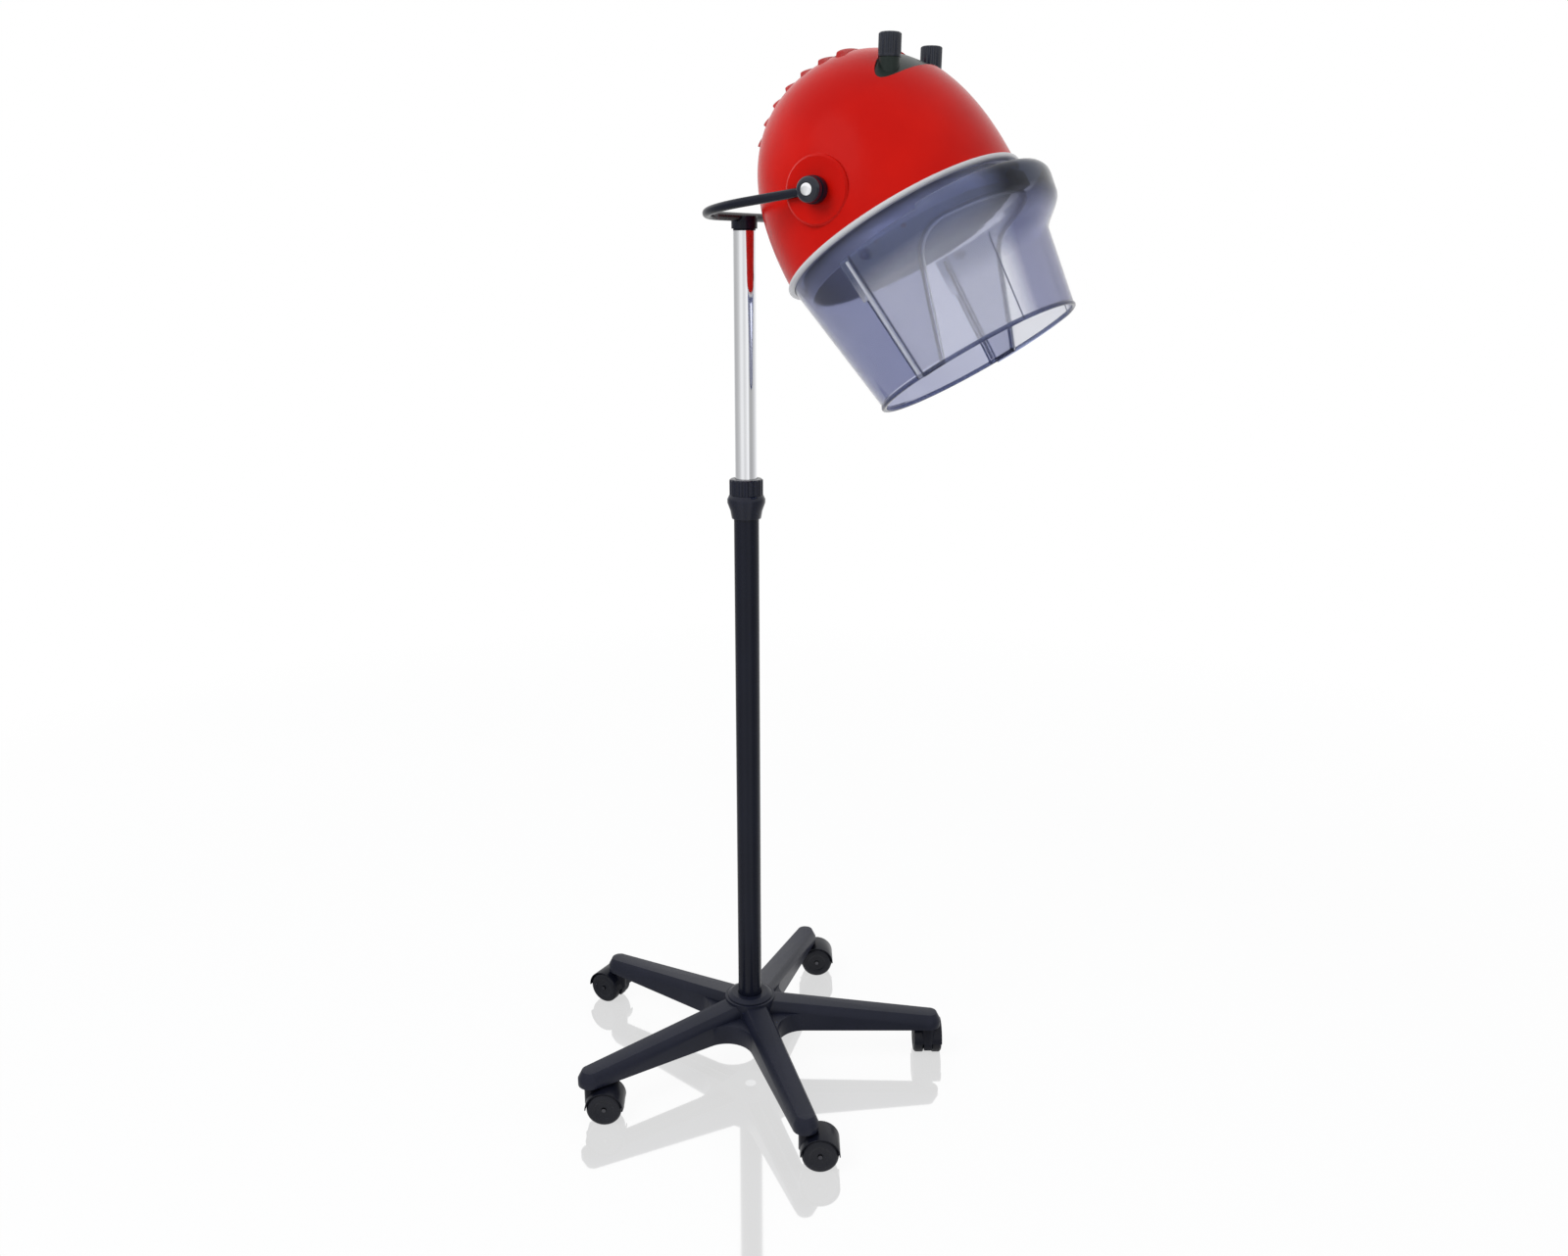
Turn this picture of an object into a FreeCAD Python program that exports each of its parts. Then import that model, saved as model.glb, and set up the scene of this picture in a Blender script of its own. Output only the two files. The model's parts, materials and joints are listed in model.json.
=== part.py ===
import FreeCAD, Part
import math
import os
import Sketcher
from FreeCAD import Placement, Rotation, Vector

# A hooded salon hair dryer on a five-legged caster base.
# Millimetres, +Z up, origin on the floor under the mast, front of the hood towards -Y.

os.makedirs("parts", exist_ok=True)
doc = FreeCAD.newDocument("HoodDryer")
sheet = doc.addObject("Spreadsheet::Sheet", "Sizes")

driving_sizes = {
    # Casters
    "wheel_diameter": 50,
    "wheel_width": 15,
    "caster_web": 12,
    "caster_trail": 20,
    "fender_wall": 1.5,
    "fender_gap": 1,
    "caster_stem_diameter": 11,
    "caster_stem_length": 40,
    "caster_axle_diameter": 6,
    "caster_boss_diameter": 19,
    # Base star
    "leg_count": 5,
    "first_leg_azimuth": -62.8,
    "caster_circle_radius": 275,
    "leg_underside": 56,
    "leg_end_height": 78,
    "leg_end_foot_width": 36,
    "leg_end_face_width": 24,
    "hub_height": 106,
    "leg_root_foot_width": 44,
    "leg_root_face_width": 30,
    "leg_shoulder": 12,
    "leg_wall": 4,
    "leg_rib": 3,
    "leg_web_radius": 40,
    "hub_diameter": 76,
    "hub_floor": 6,
    "hub_cover_diameter": 68,
    "hub_cover_height": 6,
    # Mast
    "lower_tube_diameter": 35,
    "upper_tube_diameter": 30,
    "tube_wall": 1.5,
    "lower_tube_top": 870,
    "upper_tube_bottom": 600,
    "upper_tube_top": 1232,
    "end_plug_length": 30,
    "base_bolt_diameter": 10,
    "base_bolt_head": 17,
    "base_bolt_head_height": 6,
    "collar_diameter": 53,
    "collar_foot_diameter": 45,
    "collar_skirt": 22,
    "collar_belt": 5,
    "collar_belt_height": 11,
    "clamp_nut_diameter": 47,
    "clamp_nut_height": 22,
    "clamp_nut_lip": 5,
    "clamp_thread_diameter": 40,
    "clamp_neck_height": 14,
    "collet_wall": 1.9,
    "collet_slit": 2,
    "nut_flutes": 18,
    "nut_flute_diameter": 6,
    "guide_bush_length": 25,
    "guide_bush_flange": 3,
    "top_bush_length": 80,
    "top_bush_flange": 2.5,
    # Yoke
    "spigot_diameter": 20,
    "spigot_length": 85,
    "yoke_hub_diameter": 34.5,
    "yoke_hub_height": 16,
    "yoke_rod_diameter": 11,
    "yoke_height": 1249,
    "yoke_corner_radius": 95,
    "yoke_eye_diameter": 32,
    "yoke_eye_thickness": 10,
    "yoke_bow_gap": 28,
    "pivot_height": 1273,
    "pivot_bolt_diameter": 8,
    "pivot_washer_diameter": 26,
    "pivot_washer_thickness": 1,
    "tilt_knob_diameter": 35,
    "tilt_knob_length": 15,
    # Hood shell
    "hood_tilt": 32,
    "pivot_above_ring": 57,
    "pivot_behind_axis": 14,
    "shell_diameter": 312,
    "shell_height": 219,
    "shell_fullness": 2.35,
    "shell_wall": 3,
    "boss_diameter": 80,
    "boss_rise": 1.5,
    "boss_edge": 2.5,
    "inner_boss_diameter": 28,
    "inner_boss_depth": 12,
    "ring_bead": 5,
    "ring_bead_height": 8,
    "ring_flange_width": 12,
    "ring_flange_thickness": 3,
    # Louvres
    "louvre_count": 7,
    "louvre_pitch": 27,
    "louvre_first_height": 180,
    "louvre_length": 120,
    "louvre_depth": 5.5,
    "louvre_thickness": 8,
    "louvre_slot": 7,
    # Control panel
    "panel_half_width": 92,
    "panel_half_height": 26,
    "panel_rise": 33,
    "panel_lean": 45,
    "panel_lap": 5,
    "panel_thickness": 2.5,
    "knob_azimuth": 32,
    "knob_height_on_dome": 152,
    "knob_lean": 33,
    "knob_diameter": 27,
    "knob_length": 27,
    "knob_pad_diameter": 25,
    "knob_pad_height": 8,
    "knob_flutes": 16,
    "knob_flute_diameter": 3.2,
    "spindle_diameter": 6,
    "switch_diameter": 34,
    "switch_depth": 20,
    # Skirt
    "skirt_head_inset": 2,
    "skirt_rim_diameter": 248,
    "skirt_drop": 187,
    "skirt_wall": 2.5,
    "rim_bead": 1.5,
    "rim_bead_height": 5,
    "window_rim_offset": 13,
    "window_slope_offset": 46,
    "window_slope_drop": 92,
    "window_top_drop": 44,
    "window_corner_radius": 45,
    # Visor
    "visor_wall": 2.5,
    "visor_side_gap": 2.5,
    "visor_front_stand": 9,
    "visor_end_angle": 97,
    "visor_crease_angle": 38,
    "visor_crease_rise": 4,
    "visor_top_drop": 21,
    "visor_side_top_drop": 26,
    "visor_side_top_start": 62,
    "brow_depth": 23,
    "brow_full_drop": 57,
    "brow_end_drop": 91,
    "brow_curl": 7,
    "brow_curl_drop": 35,
    "brow_full_angle": 45,
    "brow_end_angle": 90,
    "visor_pin_drop": 36,
    "visor_pin_diameter": 7,
    "visor_pin_head_diameter": 12,
    "visor_pin_head": 2,
    "catch_width": 46,
    "catch_height": 20,
    "catch_drop": 20,
    "catch_depth": 7,
    # Inner bowl and the air heater
    "bowl_gap": 17,
    "bowl_height": 110,
    "bowl_fullness": 2.2,
    "bowl_wall": 1.2,
    "bowl_lip_drop": 26,
    "bowl_flange_gap": 1.5,
    "bowl_hole_diameter": 8,
    "bracket_width": 30,
    "bracket_sheet": 3,
    "bracket_foot": 30,
    "bracket_knee": 70,
    "bracket_top": 150,
    "bracket_half_top": 108,
    "motor_diameter": 60,
    "motor_height": 45,
    "fan_shaft_diameter": 5,
    "fan_shaft_length": 62,
    "impeller_diameter": 120,
    "impeller_height": 26,
    "impeller_disc": 1.5,
    "impeller_hub_diameter": 22,
    "impeller_blades": 14,
    "impeller_blade_length": 28,
    "impeller_gap": 4,
    "heater_inner_diameter": 190,
    "heater_outer_diameter": 226,
    "heater_bottom": 92,
    "heater_frame_height": 4,
    "heater_leg_diameter": 8,
    "coil_ring_diameter": 208,
    "coil_wire_diameter": 8,
    "thermostat_diameter": 16,
    "thermostat_height": 8,
    "thermostat_height_on_bowl": 40,
    "terminal_width": 36,
    "terminal_depth": 16,
    "terminal_height": 12,
    # Mains inlet gland
    "gland_azimuth": 25,
    "gland_height": 22,
    "gland_bore": 7.2,
    "gland_diameter": 16,
    "gland_flange_diameter": 22,
    "gland_flange": 3,
    "gland_nose": 9,
    "gland_nose_diameter": 12,
    # Clearances
    "running_clearance": 0.05,
    "sliding_clearance": 0.1,
    "turning_gap": 0.3,
}

for row, (alias, value) in enumerate(driving_sizes.items(), start=1):
    sheet.set("A%d" % row, alias)
    sheet.set("B%d" % row, str(value))
    sheet.setAlias("B%d" % row, alias)
doc.recompute()


def size(alias):
    """Value of one driving dimension."""
    return float(sheet.get(alias))


X_AXIS = Vector(1, 0, 0)
Y_AXIS = Vector(0, 1, 0)
Z_AXIS = Vector(0, 0, 1)
OVERCUT = 5.0
DOME_SEAM = -25.0
SKIRT_SEAM = 90.0
sub_parts = []


def keep(item, name, place=None):
    """Name a finished sub-part and put it in its place."""
    item.Label = name
    if place is not None:
        item.Placement = place
    sub_parts.append(item)
    return item


def keep_shape(name, shape, place=None):
    """Sub-part whose shape is worked out with Part's own functions."""
    item = doc.addObject("Part::Feature", name)
    item.Shape = shape
    return keep(item, name, place)


def origin_plane(body, role):
    return [plane for plane in body.Origin.OriginFeatures if plane.Role == role][0]


def new_sketch(body, name, role, height=None):
    """Sketch on an origin plane of its own body, lifted by an expression."""
    sketch = body.newObject("Sketcher::SketchObject", name)
    sketch.AttachmentSupport = [(origin_plane(body, role), "")]
    sketch.MapMode = "FlatFace"
    if height is not None:
        sketch.setExpression("AttachmentOffset.Base.z", height)
    return sketch


def pin_point(sketch, geometry, point, across, up):
    """Tie one sketch point to the origin by two sheet expressions."""
    for kind, formula in (("DistanceX", across), ("DistanceY", up)):
        index = sketch.addConstraint(Sketcher.Constraint(kind, -1, 1, geometry, point, 1.0))
        name = "%s%d" % (kind, geometry)
        sketch.renameConstraint(index, name)
        sketch.setExpression("Constraints." + name, formula)


def draw_outline(sketch, corners):
    """Closed outline through corners given as pairs of sheet expressions."""
    count = len(corners)
    turn = 2 * math.pi / count
    start = [Vector(3 + math.cos(i * turn), math.sin(i * turn), 0) for i in range(count)]
    for i in range(count):
        sketch.addGeometry(Part.LineSegment(start[i], start[(i + 1) % count]), False)
    for i in range(count):
        sketch.addConstraint(Sketcher.Constraint("Coincident", i, 2, (i + 1) % count, 1))
    for i, (across, up) in enumerate(corners):
        pin_point(sketch, i, 1, across, up)


def draw_circle(sketch, across, up, radius):
    index = sketch.addGeometry(Part.Circle(Vector(1, 1, 0), Z_AXIS, 1), False)
    pin_point(sketch, index, 3, across, up)
    limit = sketch.addConstraint(Sketcher.Constraint("Radius", index, 1.0))
    sketch.renameConstraint(limit, "Radius%d" % index)
    sketch.setExpression("Constraints.Radius%d" % index, radius)


def turned(name, corners, place=None):
    """Body turned about its own Z axis from radius and height expressions."""
    body = doc.addObject("PartDesign::Body", name)
    sketch = new_sketch(body, name + "_profile", "XZ_Plane")
    draw_outline(sketch, corners)
    turning = body.newObject("PartDesign::Revolution", name + "_turning")
    turning.Profile = sketch
    turning.ReferenceAxis = (sketch, ["V_Axis"])
    turning.Angle = 360
    sketch.Visibility = False
    return keep(body, name, place)


def add_flutes(body, count, circle_radius, flute_radius, bottom, depth):
    """Round grooves cut down the outside of a turned body."""
    sketch = new_sketch(body, body.Name + "_flute", "XY_Plane", bottom)
    draw_circle(sketch, circle_radius, "0", flute_radius)
    groove = body.newObject("PartDesign::Pocket", body.Name + "_groove")
    groove.Profile = sketch
    groove.Reversed = True
    groove.setExpression("Length", depth)
    pattern = body.newObject("PartDesign::PolarPattern", body.Name + "_flutes")
    pattern.Originals = [groove]
    pattern.Axis = (sketch, ["N_Axis"])
    pattern.Angle = 360
    pattern.Occurrences = int(size(count))
    body.Tip = pattern
    return body


def cylinder(radius, start, direction, length):
    return Part.makeCylinder(radius, length, start, direction)


def box_between(low, high):
    span = high - low
    return Part.makeBox(span.x, span.y, span.z, low)


def prism(points, direction):
    """Straight block whose end face is a closed polygon."""
    return Part.Face(Part.makePolygon(points + [points[0]])).extrude(direction)


# Frames of the moving assemblies

pivot_reach = size("shell_diameter") / 2 + size("yoke_bow_gap")
pivot_point = Vector(0, -pivot_reach, size("pivot_height"))
hood_frame = Placement(pivot_point, Rotation(X_AXIS, -size("hood_tilt")))
hood_frame = hood_frame.multiply(
    Placement(Vector(0, -size("pivot_behind_axis"), -size("pivot_above_ring")), Rotation())
)
hood_pivot = Vector(0, size("pivot_behind_axis"), size("pivot_above_ring"))


def polar(radius, azimuth, height=0.0):
    """Point from a radius and an azimuth counted from +X."""
    angle = math.radians(azimuth)
    return Vector(radius * math.cos(angle), radius * math.sin(angle), height)


def hood_polar(radius, azimuth, height):
    """Point in the hood's frame, azimuth counted from the front centre line."""
    angle = math.radians(azimuth)
    return Vector(radius * math.sin(angle), -radius * math.cos(angle), height)


def boss_face():
    """Distance of the outer faces of the pivot bosses from the hood's middle."""
    return size("shell_diameter") / 2 + size("boss_rise")


def inner_boss_face():
    return size("shell_diameter") / 2 - size("inner_boss_depth")


def bowl_radius():
    return size("shell_diameter") / 2 - size("bowl_gap")


# Base star

leg_azimuths = [size("first_leg_azimuth") + 360.0 / size("leg_count") * i
                for i in range(int(size("leg_count")))]


def leg_section(distance, foot_width, face_width, top, bottom):
    """Cross-section of a leg, with shoulders bevelled towards the top face."""
    shoulder = top - size("leg_shoulder")
    outline = [(-foot_width / 2, bottom), (foot_width / 2, bottom), (foot_width / 2, shoulder),
               (face_width / 2, top), (-face_width / 2, top), (-foot_width / 2, shoulder)]
    corners = [Vector(distance, across, up) for across, up in outline]
    return Part.makePolygon(corners + [corners[0]])


def leg_end():
    """Rounded end of a leg around the caster stem."""
    foot = size("leg_end_foot_width") / 2
    face = size("leg_end_face_width") / 2
    bottom = size("leg_underside")
    top = size("leg_end_height")
    shoulder = top - size("leg_shoulder")
    centre = Vector(size("caster_circle_radius"), 0, bottom)
    straight = cylinder(foot, centre, Z_AXIS, shoulder - bottom)
    bevel = Part.makeCone(foot, face, top - shoulder, centre + Z_AXIS * (shoulder - bottom), Z_AXIS)
    return straight.fuse(bevel)


def leg_body():
    root = leg_section(0, size("leg_root_foot_width"), size("leg_root_face_width"),
                       size("hub_height"), size("leg_underside"))
    tip = leg_section(size("caster_circle_radius"), size("leg_end_foot_width"),
                      size("leg_end_face_width"), size("leg_end_height"), size("leg_underside"))
    return Part.makeLoft([root, tip], True, True)


def leg_hollow():
    """Spaces under a leg, open downwards, each side of the rib down its middle."""
    wall = size("leg_wall")
    reach = size("caster_circle_radius")
    fall = (size("hub_height") - size("leg_end_height")) / reach
    foot_fall = (size("leg_root_foot_width") - size("leg_end_foot_width")) / reach
    face_fall = (size("leg_root_face_width") - size("leg_end_face_width")) / reach
    sections = []
    for distance in (size("hub_diameter") / 2 + wall, reach - size("leg_end_foot_width") / 2 - wall):
        sections.append(leg_section(
            distance,
            size("leg_root_foot_width") - foot_fall * distance - 2 * wall,
            size("leg_root_face_width") - face_fall * distance - wall,
            size("hub_height") - fall * distance - wall,
            size("leg_underside") - OVERCUT))
    rib = box_between(Vector(0, -size("leg_rib") / 2, 0),
                      Vector(reach, size("leg_rib") / 2, size("hub_height")))
    return Part.makeLoft(sections, True, True).cut(rib)


def around_mast(shape, azimuth):
    return shape.rotated(Vector(), Z_AXIS, azimuth)


def leg_web():
    """Rounded web in the valley between two legs, about the +X direction."""
    taper = (size("leg_root_foot_width") - size("leg_end_foot_width")) / size("caster_circle_radius") / 2
    half_step = math.pi / size("leg_count")
    side_angle = half_step + math.atan(taper)
    valley = size("leg_root_foot_width") / 2 / (math.sin(half_step) + taper * math.cos(half_step))
    radius = size("leg_web_radius")
    centre = Vector(valley + radius / math.sin(side_angle), 0, 0)
    reach = radius / math.tan(side_angle)
    along = Vector(math.cos(side_angle), math.sin(side_angle), 0)
    into_leg = Vector(-along.y, along.x, 0) * size("leg_wall")
    touch = Vector(valley, 0, 0) + along * reach
    other = Vector(touch.x, -touch.y, 0)
    other_into = Vector(into_leg.x, -into_leg.y, 0)
    arc = Part.Arc(touch, centre - X_AXIS * radius, other).toShape()
    sides = Part.makePolygon([other, other + other_into, Vector(), touch + into_leg, touch])
    face = Part.Face(Part.Wire([arc] + sides.Edges))
    fall = (size("hub_height") - size("leg_end_height")) / size("caster_circle_radius")
    top = size("hub_height") - fall * touch.Length - size("leg_shoulder")
    face.translate(Z_AXIS * size("leg_underside"))
    return face.extrude(Z_AXIS * (top - size("leg_underside")))


def make_base_star():
    star = around_mast(leg_body(), leg_azimuths[0])
    star = star.fuse([around_mast(leg_body(), azimuth) for azimuth in leg_azimuths[1:]])
    half_step = 180.0 / size("leg_count")
    star = star.fuse([around_mast(leg_web(), azimuth + half_step) for azimuth in leg_azimuths])
    hub = cylinder(size("hub_diameter") / 2, Z_AXIS * size("leg_underside"), Z_AXIS,
                   size("hub_height") - size("leg_underside"))
    star = star.fuse([hub] + [around_mast(leg_end(), azimuth) for azimuth in leg_azimuths])
    star = star.removeSplitter()
    socket_floor = size("leg_underside") + size("hub_floor")
    cutters = [
        cylinder(size("lower_tube_diameter") / 2, Z_AXIS * socket_floor, Z_AXIS, size("hub_height")),
        cylinder(size("base_bolt_diameter") / 2 + size("sliding_clearance"),
                 Z_AXIS * (size("leg_underside") - OVERCUT), Z_AXIS, size("hub_height")),
    ]
    stem_radius = size("caster_stem_diameter") / 2 + size("running_clearance")
    stem_bore = cylinder(stem_radius, Vector(size("caster_circle_radius"), 0, 0), Z_AXIS,
                         caster_stem_top + size("turning_gap"))
    for azimuth in leg_azimuths:
        cutters.append(around_mast(stem_bore, azimuth))
        cutters.append(around_mast(leg_hollow(), azimuth))
    return star.cut(cutters)


caster_stem_bottom = size("leg_underside") - size("caster_stem_length") / 2
caster_stem_top = caster_stem_bottom + size("caster_stem_length")
keep_shape("base_star", make_base_star())

tube_foot = "(Sizes.leg_underside + Sizes.hub_floor)"
lower_radius = "Sizes.lower_tube_diameter / 2"
lower_bore = "(Sizes.lower_tube_diameter / 2 - Sizes.tube_wall)"
upper_radius = "Sizes.upper_tube_diameter / 2"
upper_bore = "(Sizes.upper_tube_diameter / 2 - Sizes.tube_wall)"

turned("hub_cover", [
    (lower_radius + " + Sizes.sliding_clearance", "Sizes.hub_height"),
    ("Sizes.hub_cover_diameter / 2", "Sizes.hub_height"),
    ("Sizes.hub_cover_diameter / 2", "Sizes.hub_height + Sizes.hub_cover_height / 3"),
    ("Sizes.hub_cover_diameter / 2 - Sizes.hub_cover_height",
     "Sizes.hub_height + Sizes.hub_cover_height"),
    (lower_radius + " + Sizes.sliding_clearance", "Sizes.hub_height + Sizes.hub_cover_height"),
])

turned("lower_tube", [
    (lower_bore, tube_foot),
    (lower_radius, tube_foot),
    (lower_radius, "Sizes.lower_tube_top"),
    (lower_bore, "Sizes.lower_tube_top"),
])

turned("tube_end_plug", [
    ("Sizes.base_bolt_diameter / 2", tube_foot),
    (lower_bore, tube_foot),
    (lower_bore, tube_foot + " + Sizes.end_plug_length"),
    ("Sizes.base_bolt_diameter / 2", tube_foot + " + Sizes.end_plug_length"),
])

turned("base_bolt", [
    ("0", "Sizes.leg_underside - Sizes.base_bolt_head_height"),
    ("Sizes.base_bolt_head / 2", "Sizes.leg_underside - Sizes.base_bolt_head_height"),
    ("Sizes.base_bolt_head / 2", "Sizes.leg_underside"),
    ("Sizes.base_bolt_diameter / 2", "Sizes.leg_underside"),
    ("Sizes.base_bolt_diameter / 2", tube_foot + " + Sizes.end_plug_length"),
    ("0", tube_foot + " + Sizes.end_plug_length"),
])

# Height clamp

neck_radius = "Sizes.clamp_thread_diameter / 2"
collet_outer = "(%s + Sizes.sliding_clearance + Sizes.collet_wall)" % upper_radius
collar_top = "(Sizes.lower_tube_top + Sizes.collar_belt_height)"
neck_top = "(%s + Sizes.clamp_neck_height)" % collar_top
nut_top = "(%s + Sizes.clamp_nut_height)" % collar_top

turned("collar_body", [
    (lower_radius, "Sizes.lower_tube_top - Sizes.collar_skirt"),
    ("Sizes.lower_tube_diameter / 2 + 2 * Sizes.tube_wall", "Sizes.lower_tube_top - Sizes.collar_skirt"),
    ("Sizes.collar_foot_diameter / 2", "Sizes.lower_tube_top - Sizes.collar_skirt / 2"),
    ("Sizes.collar_diameter / 2", "Sizes.lower_tube_top"),
    ("Sizes.collar_diameter / 2", "Sizes.lower_tube_top + Sizes.collar_belt"),
    ("Sizes.clamp_nut_diameter / 2", collar_top),
    (neck_radius, collar_top),
    (neck_radius, neck_top),
    (collet_outer, neck_top),
    (collet_outer, "Sizes.lower_tube_top"),
    (lower_radius, "Sizes.lower_tube_top"),
])

collet = turned("collar_collet", [
    ("%s + Sizes.sliding_clearance" % upper_radius, "Sizes.lower_tube_top"),
    (collet_outer, "Sizes.lower_tube_top"),
    (collet_outer, neck_top),
    ("%s + Sizes.sliding_clearance" % upper_radius, neck_top + " + Sizes.collet_wall"),
])
slit_sketch = new_sketch(collet, "collet_slit", "XY_Plane", "Sizes.lower_tube_top")
draw_outline(slit_sketch, [
    ("0", "-Sizes.collet_slit / 2"),
    ("Sizes.clamp_thread_diameter", "-Sizes.collet_slit / 2"),
    ("Sizes.clamp_thread_diameter", "Sizes.collet_slit / 2"),
    ("0", "Sizes.collet_slit / 2"),
])
slit = collet.newObject("PartDesign::Pocket", "slit_cut")
slit.Profile = slit_sketch
slit.Reversed = True
slit.setExpression("Length", "Sizes.clamp_nut_height")

clamp_nut = turned("clamp_nut", [
    (neck_radius + " + Sizes.turning_gap", collar_top + " + Sizes.turning_gap"),
    ("Sizes.clamp_nut_diameter / 2", collar_top + " + Sizes.turning_gap"),
    ("Sizes.clamp_nut_diameter / 2", nut_top + " - Sizes.collet_wall"),
    ("Sizes.clamp_nut_diameter / 2 - Sizes.collet_wall", nut_top),
    (upper_radius + " + Sizes.turning_gap", nut_top),
    (upper_radius + " + Sizes.turning_gap", nut_top + " - Sizes.clamp_nut_lip"),
    (neck_radius + " + Sizes.turning_gap", nut_top + " - Sizes.clamp_nut_lip"),
])
add_flutes(clamp_nut, "nut_flutes", "Sizes.clamp_nut_diameter / 2 + Sizes.nut_flute_diameter / 4",
           "Sizes.nut_flute_diameter / 2", collar_top + " + Sizes.turning_gap * 2",
           "Sizes.clamp_nut_height")

# Sliding upper mast

turned("chrome_tube", [
    (upper_bore, "Sizes.upper_tube_bottom"),
    (upper_radius, "Sizes.upper_tube_bottom"),
    (upper_radius, "Sizes.upper_tube_top"),
    (upper_bore, "Sizes.upper_tube_top"),
])

guide_outer = "%s - Sizes.sliding_clearance" % lower_bore
turned("tube_guide_bush", [
    (upper_bore + " - Sizes.tube_wall", "Sizes.upper_tube_bottom - Sizes.guide_bush_flange"),
    (guide_outer, "Sizes.upper_tube_bottom - Sizes.guide_bush_flange"),
    (guide_outer, "Sizes.upper_tube_bottom"),
    (upper_bore, "Sizes.upper_tube_bottom"),
    (upper_bore, "Sizes.upper_tube_bottom + Sizes.guide_bush_length"),
    (upper_bore + " - Sizes.tube_wall", "Sizes.upper_tube_bottom + Sizes.guide_bush_length"),
])

spigot_bore = "(Sizes.spigot_diameter / 2 + Sizes.running_clearance)"
turned("top_bush", [
    (spigot_bore, "Sizes.upper_tube_top - Sizes.top_bush_length"),
    (upper_bore, "Sizes.upper_tube_top - Sizes.top_bush_length"),
    (upper_bore, "Sizes.upper_tube_top"),
    (upper_radius, "Sizes.upper_tube_top"),
    (upper_radius, "Sizes.upper_tube_top + Sizes.top_bush_flange"),
    (spigot_bore, "Sizes.upper_tube_top + Sizes.top_bush_flange"),
])

# Yoke

yoke_seat = size("upper_tube_top") + size("top_bush_flange")
spigot_top = yoke_seat + size("yoke_hub_height") / 2


def yoke_arm_x():
    """Middle of the yoke's arms across the hood."""
    return boss_face() + size("pivot_washer_thickness") + size("yoke_eye_thickness") / 2


def make_yoke():
    """Bent rod with flat eyes at its ends and a hub block in the middle."""
    rise = size("pivot_height") - size("yoke_height")
    arm_length = math.hypot(pivot_reach, rise)
    corner = size("yoke_corner_radius")
    half = yoke_arm_x()
    rod = size("yoke_rod_diameter") / 2
    eye = size("yoke_eye_diameter") / 2
    across = 2 * (half - corner)
    straight = arm_length - corner
    bow = cylinder(rod, Vector(-across / 2, 0, 0), X_AXIS, across)
    pieces = []
    for side in (-1, 1):
        centre = Vector(side * (half - corner), -corner, 0)
        ring = Part.makeTorus(corner, rod, centre, Z_AXIS)
        keep_box = box_between(Vector(min(0, side * corner * 2), 0, -rod * 2),
                               Vector(max(0, side * corner * 2), corner * 2, rod * 2))
        keep_box.translate(centre)
        pieces.append(ring.common(keep_box))
        pieces.append(cylinder(rod, Vector(side * half, -corner, 0), -Y_AXIS, straight))
        face = side * half - size("yoke_eye_thickness") / 2
        pieces.append(cylinder(eye, Vector(face, -arm_length, 0), X_AXIS, size("yoke_eye_thickness")))
    bow = bow.fuse(pieces)
    eye_faces = size("yoke_eye_thickness") / 2
    shave_radius = max(eye, size("tilt_knob_diameter") / 2) + size("pivot_washer_thickness")
    cutters = []
    for side in (-1, 1):
        middle = Vector(side * half, -arm_length, 0)
        for outward in (-1, 1):
            cutters.append(cylinder(shave_radius, middle + X_AXIS * outward * eye_faces,
                                    X_AXIS * outward, rod))
        cutters.append(cylinder(size("pivot_bolt_diameter") / 2 + size("sliding_clearance"),
                                middle - X_AXIS * rod * 2, X_AXIS, rod * 4))
    bow = bow.cut(cutters)
    bow.rotate(Vector(), X_AXIS, -math.degrees(math.atan2(rise, pivot_reach)))
    bow.translate(Z_AXIS * size("yoke_height"))
    hub = cylinder(size("yoke_hub_diameter") / 2, Z_AXIS * yoke_seat, Z_AXIS, size("yoke_hub_height"))
    bow = bow.fuse(hub)
    spigot_bore = cylinder(size("spigot_diameter") / 2, Z_AXIS * (yoke_seat - OVERCUT), Z_AXIS,
                           spigot_top - yoke_seat + OVERCUT)
    return bow.cut(spigot_bore)


keep_shape("yoke", make_yoke())

yoke_seat_text = "(Sizes.upper_tube_top + Sizes.top_bush_flange + Sizes.yoke_hub_height / 2)"
turned("yoke_spigot", [
    ("0", yoke_seat_text + " - Sizes.spigot_length"),
    ("Sizes.spigot_diameter / 2 - Sizes.tube_wall", yoke_seat_text + " - Sizes.spigot_length"),
    ("Sizes.spigot_diameter / 2", yoke_seat_text + " - Sizes.spigot_length + Sizes.tube_wall"),
    ("Sizes.spigot_diameter / 2", yoke_seat_text),
    ("0", yoke_seat_text),
])

# Hood shell


def dome_point(radius, height, fullness, angle):
    """Point of a full-shouldered dome profile in the plane of its axis."""
    power = 2 / fullness
    across = radius * max(math.cos(math.radians(angle)), 0.0) ** power
    up = height * max(math.sin(math.radians(angle)), 0.0) ** power
    return Vector(across, 0, up)


def dome_profile(radius, height, fullness):
    """Smooth half profile from the rim to the crown."""
    angles = [0, 3, 8, 16, 26, 36, 46, 56, 66, 75, 82, 87, 90]
    points = [dome_point(radius, height, fullness, angle) for angle in angles]
    curve = Part.BSplineCurve()
    curve.interpolate(Points=points, InitialTangent=Z_AXIS, FinalTangent=-X_AXIS)
    return curve.toShape()


def dome_radius(height, radius, full_height, fullness):
    share = min(max(height / full_height, 0.0), 1.0)
    return radius * (1 - share ** fullness) ** (1 / fullness)


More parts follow.
